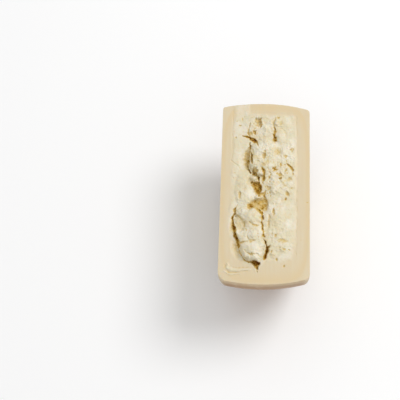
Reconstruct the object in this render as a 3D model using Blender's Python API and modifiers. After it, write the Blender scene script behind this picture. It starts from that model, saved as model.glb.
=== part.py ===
"""Half a wheel of hard, crumbly cheese, split with wedges and laid on its rind with the break facing up.

The wheel's axis runs along X, the break's length along Y, and the origin is the middle of the small
flat that the rind rests on. Lengths are in metres, and the tables that describe the break are in
millimetres from the break's middle: u across it and v along it.
"""

import math

import bmesh
import bpy
import numpy as np

MM = 0.001

# The wheel: a low drum whose rim bulges, a little wider on its left face, which was the underside
WHEEL_DIAMETER = 400 * MM
WHEEL_THICKNESS = 182 * MM
LEFT_FACE_RADIUS = 191 * MM
RIGHT_FACE_RADIUS = 186 * MM
CREST_ACROSS = -4 * MM
EDGE_ROUNDING = 9 * MM
TURN_STEPS = 104
RIM_SEGMENTS = 12
ROUNDING_SEGMENTS = 4

# The rest: a shallow flat where the weight presses the rind
FLAT_DEPTH = 1.6 * MM
BREAK_LEVEL = WHEEL_DIAMETER / 2 - FLAT_DEPTH

# The cutter: its grid is fine where the paste is torn, and leans a little towards the near end
GRID_STEP = 3.35
GRID_MARGIN = 12
LEAN_U, LEAN_V = -0.12, -0.43
MAP_STEP = 0.8
SETTLE_ROUNDS = 24
SETTLE_SHARE = 0.6

# The torn field: the knife scores a smooth band all round it, and a tongue of it runs out to the rim
FIELD = (
    (-67, 215), (-36, 215), (-33, 177), (20, 176), (58, 172), (63, 140), (64, 40), (64, -60),
    (61, -118), (54, -148), (28, -154), (4, -151), (-5, -162), (-15, -176), (-24, -165), (-40, -160),
    (-56, -144), (-64, -118), (-72, -92), (-74, -62), (-70, -30), (-69, 20), (-68, 100),
)
FIELD_EDGE = 6
FIELD_WANDER = 2
PLATEAU = 0.7

# The great lump: a tall block of paste that the wedges left behind
GREAT_LUMP = (
    (-30, -37), (-20, -37), (-10, -45), (-5, -52), (-4, -70), (0, -88), (1, -103), (4, -114),
    (3, -124), (0, -137), (-3, -147), (-10, -152), (-22, -152), (-30, -150), (-38, -143), (-47, -130),
    (-51, -117), (-57, -104), (-62, -88), (-65, -70), (-63, -55), (-58, -43), (-45, -36),
)
GREAT_LUMP_RISE = 14
GREAT_LUMP_SHOULDER = 11

# Masses that stand proud: name, middle u and v, half width, half length, rise, turn in degrees, steepness
MASSES = (
    ("crown", 2, 148, 52, 36, 5, 0, 2),
    ("shoulder", -4, 78, 30, 44, 13, -4, 5),
    ("right field", 31, 48, 40, 84, 6.5, 0, 2),
    ("apron", -42, 2, 20, 40, 5, 0, 2.5),
    ("lower field", 30, -78, 44, 92, 6, 0, 2),
    ("pale lump", 30, 123, 11, 19, 8, 4, 2.5),
    ("knob", 23, 156, 5.5, 9, 8, 0, 3),
    ("bridge", -23, 28, 8, 6.5, 7, 0, 3),
    ("pebble", -12, -14, 8, 5, 7, 0, 3),
)

# Low swellings on top of the masses: name, middle u and v, half width, half length, rise
SWELLINGS = (
    ("lump's upper lobe", -24, -56, 21, 19, 3.5),
    ("lump's flank", -20, -88, 17, 20, 2.5),
    ("lump's foot", -24, -124, 23, 17, 4),
    ("lump's lip", -40, -137, 9, 13, 3),
    ("lump's left ridge", -55, -88, 7, 17, 2.5),
    ("shoulder's top", -8, 94, 22, 16, 3),
    ("shoulder's flank", 8, 62, 20, 18, 2.5),
    ("shoulder's corner", -20, 72, 9, 20, 2),
    ("field's ridge", 20, 12, 14, 24, 2.5),
    ("field's knoll", 26, -52, 20, 26, 2.5),
    ("lower knoll", 42, -124, 13, 11, 2.5),
    ("white knoll", 18, -137, 8, 10, 3),
    ("right knoll", 48, 110, 12, 24, 1.5),
)
SWELLING_SPREAD = 1.2

# Holes with an outline of their own: name, depth, width of the sloping wall, outline as u and v
HOLES = (
    ("crown crack", 8, 3.5, ((-34, 120), (-30, 119), (-24, 116), (-20, 111), (-19, 107), (-23, 109),
                             (-28, 112), (-33, 116))),
    ("lump's edge", 8, 3, ((15, 128), (20, 129), (21, 120), (20, 113), (17, 111), (14, 115))),
    ("neck hollow", 9, 4.5, ((-29, 50), (-22, 54), (-16, 53), (-13, 46), (-12, 37), (-15, 32), (-22, 32),
                             (-28, 36), (-30, 44))),
    ("deep hollow", 10, 5, ((-29, 19), (-26, 22), (-19, 20), (-12, 20), (-7, 11), (-6, 0), (-11, -9),
                            (-17, -10), (-22, -3), (-25, 5), (-29, 13))),
    ("open cavity", 6, 8, ((-34, -30), (-29, -22), (-20, -18), (-10, -17), (-2, -15), (6, -19), (7, -30),
                           (6, -43), (0, -47), (-7, -45), (-14, -42), (-22, -38), (-31, -37))),
    ("lump's dish", 4, 4, ((-60, -49), (-52, -53), (-42, -60), (-36, -68), (-37, -77), (-43, -88),
                           (-50, -93), (-56, -84), (-60, -70))),
    ("slot", 11, 3.2, ((4, -114), (9, -119), (17, -114), (13, -122), (11, -128), (8, -134), (4, -141),
                       (-1, -146), (0, -139), (2, -132), (2, -124))),
    ("foot hole", 10, 3.4, ((-33, -149), (-24, -150), (-14, -151), (-4, -153), (-4, -158), (-11, -159),
                            (-13, -165), (-15, -170), (-19, -167), (-22, -162), (-26, -156))),
)

# Rounded hollows: name, middle u and v, half width, half length, turn in degrees, depth, steepness
HOLLOWS = (
    ("upper dimple", -14, 155, 9, 14, 0, 5, 1.3),
    ("dimple's left part", -21, 153, 5, 8, 0, 4, 1.5),
    ("valley", -37, 68, 8, 32, 2, 8, 1.6),
    ("valley's slope", -43, 66, 13, 36, 0, 4, 1.1),
    ("cavity's floor", -12, -35, 19, 8, -8, 9, 1.5),
    ("cavity's corner", 0, -34, 7, 13, 0, 8, 1.6),
    ("scoop", 26, 88, 9, 18, 32, 3, 1.6),
    ("side dent", 18, -44, 4, 12, 0, 3, 1.4),
    ("right dent", 45, -5, 6, 9, 20, 3.5, 1.3),
    ("field dent", 36, -106, 12, 4, 0, 2.5, 1.3),
    ("notch", -51, -9, 4, 11, 8, 3, 1.5),
    ("upper furrow", 0, 82, 4, 12, -8, 3, 1.4),
    ("valley's foot", -32, 22, 9, 14, 0, 3, 1.3),
    ("knob's left side", 17, 151, 4, 9, 0, 3, 1.3),
    ("knob's right side", 31, 154, 4.5, 10, 8, 2.5, 1.3),
    ("ochre pit", -24, 132, 4.4, 4.4, 0, 3.5, 1),
    ("olive pit", -33, 128, 5, 5, 0, 3, 1),
    ("red pit", 21, 49, 4.6, 4.6, 0, 4, 1),
    ("long pit", 32, 33, 4.4, 6, 0, 3, 1),
    ("right pit", 54, 94, 4.6, 4.6, 0, 3, 1),
)

# Cracks: name, depth, points as u, v and half width
CRACKS = (
    ("crown crack's arm", 5, ((-47, 123, 1.4), (-42, 122, 2.6), (-36, 121, 3), (-31, 118, 3.4))),
    ("crown's edge", 4, ((-33, 154, 1.6), (-35, 143, 3), (-38, 130, 3.4), (-36, 124, 3))),
    ("dimple's streak", 4, ((-11, 165, 1.6), (-12, 157, 3), (-11, 149, 3), (-12, 144, 1.6))),
    ("lump's upper edge", 4, ((23, 142, 1.8), (19, 137, 3), (18, 128, 3.4))),
    ("valley's dark line", 7, ((-33, 108, 2), (-32, 99, 3.4), (-34, 90, 2.6), (-36, 78, 2.8),
                               (-37, 64, 3.4), (-36, 54, 3.2), (-33, 45, 3.4), (-29, 39, 2.4))),
    ("inner valley", 6, ((-32, 90, 2), (-29, 80, 3.4), (-26, 70, 3.8), (-25, 60, 2.4))),
    ("neck's floor", 11, ((-24, 36, 1.6), (-20, 36, 3), (-16, 38, 3.4), (-14, 31, 3), (-13, 22, 2.4))),
    ("hollow's upper edge", 12, ((-29, 18, 2), (-24, 18, 3), (-17, 18, 2), (-12, 14, 3.4), (-10, 5, 3.6),
                                 (-11, -3, 3), (-15, -8, 2))),
    ("middle crack", 5, ((-7, 54, 1.6), (-4, 47, 3.2), (-4, 39, 3), (-3, 31, 4.6), (-3, 24, 1.6))),
    ("middle seam", 4, ((2, 2, 1.6), (-1, -4, 3.4), (-2, -11, 4), (0, -18, 3), (0, -26, 3.4))),
    ("right crack", 4, ((45, 63, 1.4), (50, 56, 2.6), (55, 51, 3.4), (56, 46, 2.2), (57, 38, 1.6))),
    ("lump's upper left", 6, ((-56, -32, 1.6), (-60, -38, 2.8), (-61, -43, 3.4), (-60, -50, 1.8),
                              (-63, -57, 2))),
    ("lump's left side", 8, ((-63, -56, 2), (-66, -63, 4), (-64, -72, 3.6), (-62, -80, 3.8),
                             (-60, -90, 3.6), (-57, -99, 2.8), (-54, -106, 2))),
    ("lump's lower left", 6, ((-56, -102, 2.6), (-53, -110, 4), (-49, -119, 4), (-50, -128, 2.2),
                              (-46, -138, 2), (-39, -148, 2), (-31, -153, 3))),
    ("lump's top side", 7, ((-32, -31, 2.4), (-27, -34, 4.2), (-20, -37, 1.6), (-13, -41, 4),
                            (-6, -48, 2.4))),
    ("lump's right side", 6, ((-6, -46, 2.6), (-5, -53, 1.2), (-5, -60, 3.2), (-6, -67, 1),
                              (-5, -72, 1.4), (-5, -77, 3.2), (-3, -85, 1.4), (-1, -92, 1), (0, -98, 3),
                              (1, -104, 1.2))),
    ("slot's top", 8, ((0, -104, 1.2), (3, -111, 2.8), (5, -117, 2.4))),
    ("lump's waist", 3, ((-53, -113, 4), (-42, -112, 3), (-32, -110, 2.6), (-25, -107, 3.4),
                         (-18, -106, 1.8))),
    ("lump's scratch", 2, ((-29, -66, 1.6), (-25, -71, 2.4), (-19, -75, 3), (-12, -77, 2), (-7, -75, 1.4))),
    ("lump's lower crease", 2, ((-38, -127, 1.6), (-33, -133, 2.4), (-26, -137, 3.4), (-19, -136, 2.6),
                                (-12, -134, 3), (-6, -138, 1.4))),
)
NARROWING = 0.6
LEAST_HALF_WIDTH = 2.8
HOLE_WANDER = 1.3

# The crumb: size of a curd, its rise and seed, then size of a flake, its tilt's rise, crease and seed
CURD_LAYERS = ((19, 2.6, 20), (9, 1.6, 24))
MIDDLE_CURD = 0.4
FLAKE_LAYERS = ((24, 1.4, 0.3, 3), (11, 1.1, 0.25, 8))
CREASE_SHARE = 0.3
WARPS = ((1.3, 17, 50), (1.0, 5, 60))
LEAST_ROUGHNESS = 0.22
FULL_ROUGHNESS_AT = 6
TABLE_SIZE = 97

# Where the break is smoother: name, middle u and v, half width, half length, share of crumb missing
CALM_PLACES = (
    ("lower right field", 34, -66, 32, 56, 0.75),
    ("great lump", -28, -95, 42, 66, 0.6),
    ("apron", -44, 4, 20, 40, 0.6),
    ("pale lump", 30, 124, 12, 20, 0.5),
    ("plateau", -56, 120, 14, 90, 0.5),
)


def ease(share):
    """A soft step from 0 to 1."""
    share = np.clip(share, 0.0, 1.0)
    return share * share * (3 - 2 * share)


def random_table(seed, *shape):
    return np.random.default_rng(seed).uniform(-1, 1, (TABLE_SIZE, TABLE_SIZE, *shape))


def rolling(u, v, size, seed):
    """Smooth noise from -1 to 1 whose bumps are about one size across."""
    table = random_table(seed)
    x, y = u / size, v / size
    column, row = np.floor(x).astype(int), np.floor(y).astype(int)
    part_x, part_y = ease(x - column), ease(y - row)

    def corner(right, up):
        return table[(column + right) % TABLE_SIZE, (row + up) % TABLE_SIZE]

    near = corner(0, 0) * (1 - part_x) + corner(1, 0) * part_x
    far = corner(0, 1) * (1 - part_x) + corner(1, 1) * part_x
    return near * (1 - part_y) + far * part_y


def layered(u, v, size, seed, layers):
    """Rolling noise with finer noise on top."""
    return sum(rolling(u, v, size / 2**k, seed + k) / 2**k for k in range(layers))


def flakes(u, v, size, seed):
    """Tilted flakes, each about one size across: their height, and 1 in the creases between them."""
    offset, tilt = random_table(seed, 2), random_table(seed + 1, 3)
    x, y = u / size, v / size
    column, row = np.floor(x).astype(int), np.floor(y).astype(int)
    reach, height = [], []
    for right in (-1, 0, 1):
        for up in (-1, 0, 1):
            cell = (column + right) % TABLE_SIZE, (row + up) % TABLE_SIZE
            away_x = x - (column + right + 0.5 + 0.45 * offset[cell][..., 0])
            away_y = y - (row + up + 0.5 + 0.45 * offset[cell][..., 1])
            lean = tilt[cell]
            reach.append(np.hypot(away_x, away_y))
            height.append(lean[..., 0] * away_x + lean[..., 1] * away_y + 0.5 * lean[..., 2])
    order = np.argsort(reach, axis=0)[:2]
    reach = np.take_along_axis(np.array(reach), order, axis=0)
    height = np.take_along_axis(np.array(height), order, axis=0)
    own = ease((reach[1] - reach[0]) / CREASE_SHARE)
    return height[0] * (0.5 + 0.5 * own) + height[1] * (0.5 - 0.5 * own), 1 - own


def outline_reach(u, v, points):
    """How far inside a closed outline each place is, in millimetres, and below 0 outside it."""
    nearest = np.full_like(u, np.inf)
    inside = np.zeros(u.shape, bool)
    for (start_u, start_v), (end_u, end_v) in zip(points, points[1:] + points[:1]):
        run_u, run_v = end_u - start_u, end_v - start_v
        share = np.clip(((u - start_u) * run_u + (v - start_v) * run_v) / (run_u**2 + run_v**2), 0, 1)
        nearest = np.minimum(nearest, np.hypot(u - start_u - share * run_u, v - start_v - share * run_v))
        crosses = (start_v > v) != (end_v > v)
        inside ^= crosses & (u < start_u + run_u * (v - start_v) / (run_v if run_v else 1))
    return np.where(inside, nearest, -nearest)


def oval_share(u, v, middle_u, middle_v, half_u, half_v, turn=0):
    """How far each place is from an oval's middle, as a share of the way to its edge."""
    c, s = math.cos(math.radians(turn)), math.sin(math.radians(turn))
    across, along = u - middle_u, v - middle_v
    return np.hypot((c * across + s * along) / half_u, (c * along - s * across) / half_v)


def crack_share(u, v, points, wear):
    """1 along a line through the points and 0 past its half width, which each point states last."""
    deepest = np.zeros_like(u)
    widest = max(half for _, _, half in points)
    for (start_u, start_v, start_half), (end_u, end_v, end_half) in zip(points, points[1:]):
        run_u, run_v = end_u - start_u, end_v - start_v
        share = np.clip(((u - start_u) * run_u + (v - start_v) * run_v) / (run_u**2 + run_v**2), 0, 1)
        away = np.hypot(u - start_u - share * run_u, v - start_v - share * run_v)
        half = (start_half + share * (end_half - start_half)) * wear
        depth_share = (half / widest) ** NARROWING
        deepest = np.maximum(deepest, depth_share * ease(1 - away / np.maximum(half, LEAST_HALF_WIDTH)))
    return np.minimum(deepest, 1)


def torn_share(u, v):
    """1 where the paste is torn and 0 on the smooth scored band."""
    wander = FIELD_WANDER * rolling(u, v, 13, 42)
    return ease((outline_reach(u, v, FIELD) + wander) / FIELD_EDGE + 0.3)


def mass_height(u, v):
    """The upper outline of the masses, which meet in creases."""
    height = np.full_like(u, PLATEAU)
    for _, middle_u, middle_v, half_u, half_v, rise, turn, steepness in MASSES:
        share = np.minimum(oval_share(u, v, middle_u, middle_v, half_u, half_v, turn), 1)
        dome = (1 - share**steepness) ** (2 / steepness)
        height = np.maximum(height, PLATEAU + (rise - PLATEAU) * dome)
    reach = np.clip(outline_reach(u, v, GREAT_LUMP) / GREAT_LUMP_SHOULDER, 0, 1)
    height = np.maximum(height, GREAT_LUMP_RISE * np.sqrt(1 - (1 - reach) ** 2))
    for _, middle_u, middle_v, half_u, half_v, rise in SWELLINGS:
        away = oval_share(u, v, middle_u, middle_v, half_u, half_v)
        height = height + rise * ease(SWELLING_SPREAD * (1 - away))
    return height


def loss_depth(u, v):
    """How much the holes, the hollows and the cracks take away."""
    loss = np.zeros_like(u)
    ragged = HOLE_WANDER * layered(u, v, 5, 84, 2)
    for _, depth, wall, points in HOLES:
        loss = np.maximum(loss, depth * ease((outline_reach(u, v, points) + ragged) / wall))
    for _, middle_u, middle_v, half_u, half_v, turn, depth, wall in HOLLOWS:
        away = oval_share(u, v, middle_u, middle_v, half_u, half_v, turn)
        loss = np.maximum(loss, depth * ease(wall * (1 - away)))
    wear = 1 + 0.5 * layered(u, v, 9, 80, 2)
    for _, depth, points in CRACKS:
        loss = np.maximum(loss, depth * crack_share(u, v, points, wear))
    return loss


def calm(u, v):
    """How much smoother the break is than where it is crumbliest, from 0 to 1."""
    most = np.zeros_like(u)
    for _, middle_u, middle_v, half_u, half_v, share in CALM_PLACES:
        away = oval_share(u, v, middle_u, middle_v, half_u, half_v)
        most = np.maximum(most, share * ease(2 * (1 - away)))
    return most


def relief(u, v):
    """The break's height over the plane of the scored band, in millimetres."""
    bent_u, bent_v = u, v
    for reach, size, seed in WARPS:
        bent_u = bent_u + reach * rolling(u, v, size, seed)
        bent_v = bent_v + reach * rolling(u, v, size, seed + 1)
    height = mass_height(bent_u, bent_v)
    roughness = LEAST_ROUGHNESS + (1 - LEAST_ROUGHNESS) * ease(height / FULL_ROUGHNESS_AT)
    roughness = roughness * (1 - calm(u, v))
    crumb = 0.0
    for size, rise, seed in CURD_LAYERS:
        crumb = crumb + rise * (np.abs(rolling(bent_u, bent_v, size, seed)) - MIDDLE_CURD)
    for size, rise, gap_depth, seed in FLAKE_LAYERS:
        tilt, gap = flakes(bent_u, bent_v, size, seed)
        crumb = crumb + rise * tilt - gap_depth * gap
    return torn_share(u, v) * (height + roughness * crumb) - loss_depth(bent_u, bent_v)


def sampler(values, lines_u, lines_v):
    """A function that reads a map of the break between its lines."""
    def read(u, v):
        column = np.clip(np.interp(u, lines_u, np.arange(len(lines_u))), 0, len(lines_u) - 1.001)
        row = np.clip(np.interp(v, lines_v, np.arange(len(lines_v))), 0, len(lines_v) - 1.001)
        left, near = column.astype(int), row.astype(int)
        part_u, part_v = column - left, row - near
        low_row = values[near, left] * (1 - part_u) + values[near, left + 1] * part_u
        high_row = values[near + 1, left] * (1 - part_u) + values[near + 1, left + 1] * part_u
        return low_row * (1 - part_v) + high_row * part_v
    return read


def raised(u, v, height):
    return np.stack([u + LEAN_U * height, v + LEAN_V * height, height], axis=-1)


def settle(u, v, read_height):
    """Slides the inner points of a grid, given as rows of places, towards where the relief is steep."""
    rest_u, rest_v = np.diff(u, axis=1), np.diff(v, axis=0)
    for _ in range(SETTLE_ROUNDS):
        place = raised(u, v, read_height(u, v))
        pull_u = np.linalg.norm(np.diff(place, axis=1), axis=2) / rest_u
        pull_v = np.linalg.norm(np.diff(place, axis=0), axis=2) / rest_v
        left, right = pull_u[1:-1, :-1] / rest_u[1:-1, :-1], pull_u[1:-1, 1:] / rest_u[1:-1, 1:]
        near, far = pull_v[:-1, 1:-1] / rest_v[:-1, 1:-1], pull_v[1:, 1:-1] / rest_v[1:, 1:-1]
        total = left + right + near + far
        for values in (u, v):
            drawn = (left * values[1:-1, :-2] + right * values[1:-1, 2:]
                     + near * values[:-2, 1:-1] + far * values[2:, 1:-1]) / total
            values[1:-1, 1:-1] += SETTLE_SHARE * (drawn - values[1:-1, 1:-1])
    return u, v


def rim_radius(across):
    """The wheel's radius at a distance across its thickness: a crest that falls off towards both faces."""
    half = WHEEL_THICKNESS / 2
    if across < CREST_ACROSS:
        share = (CREST_ACROSS - across) / (CREST_ACROSS + half)
        fall = WHEEL_DIAMETER / 2 - LEFT_FACE_RADIUS
    else:
        share = (across - CREST_ACROSS) / (half - CREST_ACROSS)
        fall = WHEEL_DIAMETER / 2 - RIGHT_FACE_RADIUS
    return WHEEL_DIAMETER / 2 - fall * share * share


def wheel_profile():
    """Half the wheel's section, as (across, radius), from the right face's middle to the left one's."""
    half = WHEEL_THICKNESS / 2
    flank = half - EDGE_ROUNDING

    def corner(side):
        centre = rim_radius(side * flank) - EDGE_ROUNDING
        turns = [math.pi / 2 * k / ROUNDING_SEGMENTS for k in range(ROUNDING_SEGMENTS)]
        return [(side * (flank + EDGE_ROUNDING * math.cos(a)), centre + EDGE_ROUNDING * math.sin(a))
                for a in turns]

    rim = [flank - 2 * flank * k / RIM_SEGMENTS for k in range(RIM_SEGMENTS + 1)]
    right, left = corner(1), corner(-1)
    return (
        [(half, 0.0)] + right + [(x, rim_radius(x)) for x in rim] + left[::-1] + [(-half, 0.0)]
    )


def collection(name, is_guide=False):
    made = bpy.data.collections.new(name)
    bpy.context.scene.collection.children.link(made)
    made.hide_render = is_guide
    return made


def as_cutter(obj, cutters):
    obj.hide_render = True
    obj.display_type = "WIRE"
    for owner in list(obj.users_collection):
        owner.objects.unlink(obj)
    cutters.objects.link(obj)
    return obj


def paste_material():
    """Pale, dry, slightly waxy paste."""
    material = bpy.data.materials.new("paste")
    material.use_nodes = True
    shader = material.node_tree.nodes["Principled BSDF"]
    shader.inputs["Base Color"].default_value = (0.69, 0.60, 0.40, 1.0)
    shader.inputs["Roughness"].default_value = 0.6
    shader.inputs["Metallic"].default_value = 0.0
    return material


def whole_wheel(parts):
    """The turned drum, before it is split."""
    mesh = bpy.data.meshes.new("half_wheel")
    shape = bmesh.new()
    verts = [shape.verts.new((x, r, 0.0)) for x, r in wheel_profile()]
    for a, b in zip(verts, verts[1:]):
        shape.edges.new((a, b))
    shape.to_mesh(mesh)
    shape.free()
    wheel = bpy.data.objects.new("half_wheel", mesh)
    parts.objects.link(wheel)
    wheel.location.z = BREAK_LEVEL
    mesh.materials.append(paste_material())
    screw = wheel.modifiers.new("turn", "SCREW")
    screw.axis = "X"
    screw.angle = math.tau
    screw.steps = screw.render_steps = TURN_STEPS
    screw.use_merge_vertices = True
    screw.merge_threshold = 0.0001
    screw.use_smooth_shade = True
    return wheel


def grid_lines(low, high, fine_low, fine_high):
    """Lines a fine step apart where the break is torn, and one wide cell on each side."""
    count = round((fine_high - fine_low) / GRID_STEP)
    return np.concatenate([[low], np.linspace(fine_low, fine_high, count + 1), [high]])


def torn_grid():
    """The grid's lines and the places of its points, settled on the relief and raised to it."""
    reach_u = WHEEL_THICKNESS / MM / 2 + GRID_MARGIN
    reach_v = WHEEL_DIAMETER / MM / 2 + GRID_MARGIN
    field_u, field_v = zip(*FIELD)
    lines_u = grid_lines(-reach_u, reach_u, min(field_u) - FIELD_EDGE / 2, max(field_u) + FIELD_EDGE / 2)
    lines_v = grid_lines(-reach_v, reach_v, min(field_v) - FIELD_EDGE / 2, reach_v - GRID_MARGIN / 2)
    map_u = np.arange(-reach_u, reach_u + MAP_STEP, MAP_STEP)
    map_v = np.arange(-reach_v, reach_v + MAP_STEP, MAP_STEP)
    read_height = sampler(relief(*np.meshgrid(map_u, map_v)), map_u, map_v)
    u, v = settle(*np.meshgrid(lines_u, lines_v), read_height)
    return lines_u, lines_v, raised(u, v, read_height(u, v))


def break_cutter(cutters):
    """What is taken off the wheel: a block whose underside is the torn face."""
    lines_u, lines_v, places = torn_grid()
    columns, rows = len(lines_u) - 1, len(lines_v) - 1
    bpy.ops.mesh.primitive_grid_add(x_subdivisions=columns, y_subdivisions=rows, size=1)
    cutter = bpy.context.object
    cutter.name = "break_cutter"
    shape = bmesh.new()
    shape.from_mesh(cutter.data)
    for vert in shape.verts:
        column = round((vert.co.x + 0.5) * columns)
        row = round((vert.co.y + 0.5) * rows)
        vert.co = places[row, column] * MM
    bmesh.ops.triangulate(shape, faces=shape.faces)
    top = bmesh.ops.extrude_face_region(shape, geom=shape.faces[:])
    for vert in [item for item in top["geom"] if isinstance(item, bmesh.types.BMVert)]:
        vert.co.z = WHEEL_DIAMETER * 0.6
    bmesh.ops.recalc_face_normals(shape, faces=shape.faces)
    shape.to_mesh(cutter.data)
    shape.free()
    cutter.location = (0, 0, BREAK_LEVEL)
    return as_cutter(cutter, cutters)


def rest_cutter(cutters):
    """A block under the floor that leaves the small flat at the rind's lowest point."""
    depth = 20 * MM
    bpy.ops.mesh.primitive_cube_add(size=1, location=(0, 0, -depth / 2))
    cutter = bpy.context.object
    cutter.name = "rest_cutter"
    cutter.scale = (WHEEL_THICKNESS * 1.2, WHEEL_DIAMETER / 2, depth)
    return as_cutter(cutter, cutters)


def cut(target, cutter, name):
    boolean = target.modifiers.new(name, "BOOLEAN")
    boolean.operation = "DIFFERENCE"
    boolean.solver = "EXACT"
    boolean.object = cutter


def main():
    for obj in list(bpy.data.objects):
        bpy.data.objects.remove(obj, do_unlink=True)
    parts = collection("half_cheese_wheel")
    cutters = collection("cutters", is_guide=True)
    wheel = whole_wheel(parts)
    cut(wheel, break_cutter(cutters), "split")
    cut(wheel, rest_cutter(cutters), "rest")


main()
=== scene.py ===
# %% [markdown]
# # Half a wheel of hard cheese
#
# A drum of hard, grainy cheese is opened with short wedge-shaped knives: a line is scored all round, the
# wedges are driven in, and the wheel splits. The scored line leaves a smooth band, and inside it the paste
# tears into lumps, flakes and cracks. This lesson dresses the plain solid of one such half: it is turned,
# split, torn, crumbled and then given its two finishes, the pale paste and the tan rind.

# %% [markdown]
# ## The imported model
#
# The plain solid fixes where the half wheel stands and how large it is. It is loaded first and its box is
# kept, and the wheel's sizes and the highest point the relief may reach are read from it.

# %% Load the imported model
import math

import bmesh
import bpy
import numpy as np
from mathutils import Matrix, Vector


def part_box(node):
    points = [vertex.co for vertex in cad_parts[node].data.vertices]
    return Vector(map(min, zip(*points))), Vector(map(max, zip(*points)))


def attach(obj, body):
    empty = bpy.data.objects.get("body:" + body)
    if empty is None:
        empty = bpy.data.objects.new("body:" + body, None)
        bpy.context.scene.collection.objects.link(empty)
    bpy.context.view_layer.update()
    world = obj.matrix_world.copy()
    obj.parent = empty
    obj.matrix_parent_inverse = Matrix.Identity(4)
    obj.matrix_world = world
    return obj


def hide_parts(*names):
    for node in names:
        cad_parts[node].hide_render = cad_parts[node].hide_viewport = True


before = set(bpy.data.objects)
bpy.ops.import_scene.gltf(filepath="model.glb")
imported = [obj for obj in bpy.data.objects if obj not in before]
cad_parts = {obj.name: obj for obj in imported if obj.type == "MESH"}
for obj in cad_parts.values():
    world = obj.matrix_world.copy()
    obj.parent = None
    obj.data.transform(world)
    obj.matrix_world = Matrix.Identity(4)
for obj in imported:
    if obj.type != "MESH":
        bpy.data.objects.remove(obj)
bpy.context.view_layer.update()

MM = 0.001
NODE = "half_wheel"
node_low, node_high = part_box(NODE)

# %% [markdown]
# ## The sizes of the wheel
#
# The wheel is a low drum with a bulging rim. Its axis lies along X and the break faces up, so the break is
# as long as the wheel is wide (along Y) and as broad as the wheel is thick (along X). Both come from the
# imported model, and all else is stated as real millimetres.

# %% Sizes of the wheel
THICKNESS = node_high.x - node_low.x
RADIUS = round((node_high.y - node_low.y) / 2, 4)
# how far the weight presses the rim flat where it rests
REST_DEPTH = 1.6 * MM
BREAK_LEVEL = RADIUS - REST_DEPTH
# where across the rim its crest lies, and how far it falls off from there to each face
CREST_ACROSS = -4 * MM
LEFT_FALL = 9 * MM
RIGHT_FALL = 14 * MM
EDGE_ROUNDING = 4 * MM
# how near a place has to be to a plane to count as on it
TOUCH = 0.1 * MM
print(f"wheel {2 * RADIUS:.3f} m wide, {THICKNESS:.3f} m thick, break at {BREAK_LEVEL:.4f} m")

# %% [markdown]
# ## Turning the drum
#
# The body could be spun from a profile, which gives a pole at the middle of each face. A cylinder is
# simpler: slices are cut into its rim, each slice is drawn in to make the bulge, and the two sharp edges
# are bevelled. It is then cut in half, and a voxel remesh spreads small even quads all over, which the dents
# and the soft wear of the rind need.

# %% Helpers for working in edit mode
def alone(obj):
    """Selects one object and nothing else."""
    bpy.ops.object.select_all(action="DESELECT")
    obj.select_set(True)
    bpy.context.view_layer.objects.active = obj


def apply_modifier(obj, kind, **settings):
    """Adds a modifier with these settings and applies it."""
    modifier = obj.modifiers.new(kind.lower(), kind)
    for name, value in settings.items():
        setattr(modifier, name, value)
    alone(obj)
    bpy.ops.object.modifier_apply(modifier=modifier.name)


def positions(obj):
    """The places of a mesh's points, as an array with one row for each."""
    found = np.empty(3 * len(obj.data.vertices))
    obj.data.vertices.foreach_get("co", found)
    return found.reshape(-1, 3)


def move_points(obj, places):
    """Moves a mesh's points to these places, given as positions gives them."""
    obj.data.vertices.foreach_set("co", np.asarray(places, np.float32).ravel())
    obj.data.update()


print("helpers for one object at a time are ready")

# %% Turn the drum
DRUM_SIDES = 160
RIM_SLICES = 15


def rim_radius(across):
    """The wheel's radius across its thickness: a crest that falls off towards both faces."""
    half = THICKNESS / 2
    left = np.clip((CREST_ACROSS - across) / (CREST_ACROSS + half), 0, 1)
    right = np.clip((across - CREST_ACROSS) / (half - CREST_ACROSS), 0, 1)
    return RADIUS - LEFT_FALL * left**2 - RIGHT_FALL * right**2


bpy.ops.object.select_all(action="DESELECT")
bpy.ops.mesh.primitive_cylinder_add(
    vertices=DRUM_SIDES, radius=RADIUS, depth=THICKNESS, rotation=(0, math.pi / 2, 0)
)
cheese = bpy.context.object
cheese.name = "half_cheese"
bpy.ops.object.transform_apply(location=False, rotation=True, scale=False)
bpy.ops.object.mode_set(mode="EDIT")
for k in range(1, RIM_SLICES):
    bpy.ops.mesh.select_all(action="SELECT")
    slice_at = THICKNESS * (k / RIM_SLICES - 0.5)
    bpy.ops.mesh.bisect(plane_co=(slice_at, 0, 0), plane_no=(1, 0, 0))
bpy.ops.object.mode_set(mode="OBJECT")
places = positions(cheese)
places[:, 1:] *= (rim_radius(places[:, 0]) / RADIUS)[:, None]
move_points(cheese, places)
print("drum:", len(cheese.data.vertices), "points")

# %% Round its edges, halve it and spread even faces over it
ROUNDING_STEPS = 6
# how much higher than the break the drum is first cut, and how far apart the remeshed points are
SPARE = 26 * MM
VOXEL = 3.2 * MM


def pick_edges(obj, wanted):
    """Selects the edges whose two ends both pass a test, in edit mode."""
    bpy.ops.mesh.select_mode(type="EDGE")
    bpy.ops.mesh.select_all(action="DESELECT")
    shape = bmesh.from_edit_mesh(obj.data)
    for edge in shape.edges:
        if all(wanted(vert.co) for vert in edge.verts):
            edge.select_set(True)
    bmesh.update_edit_mesh(obj.data)


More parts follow.
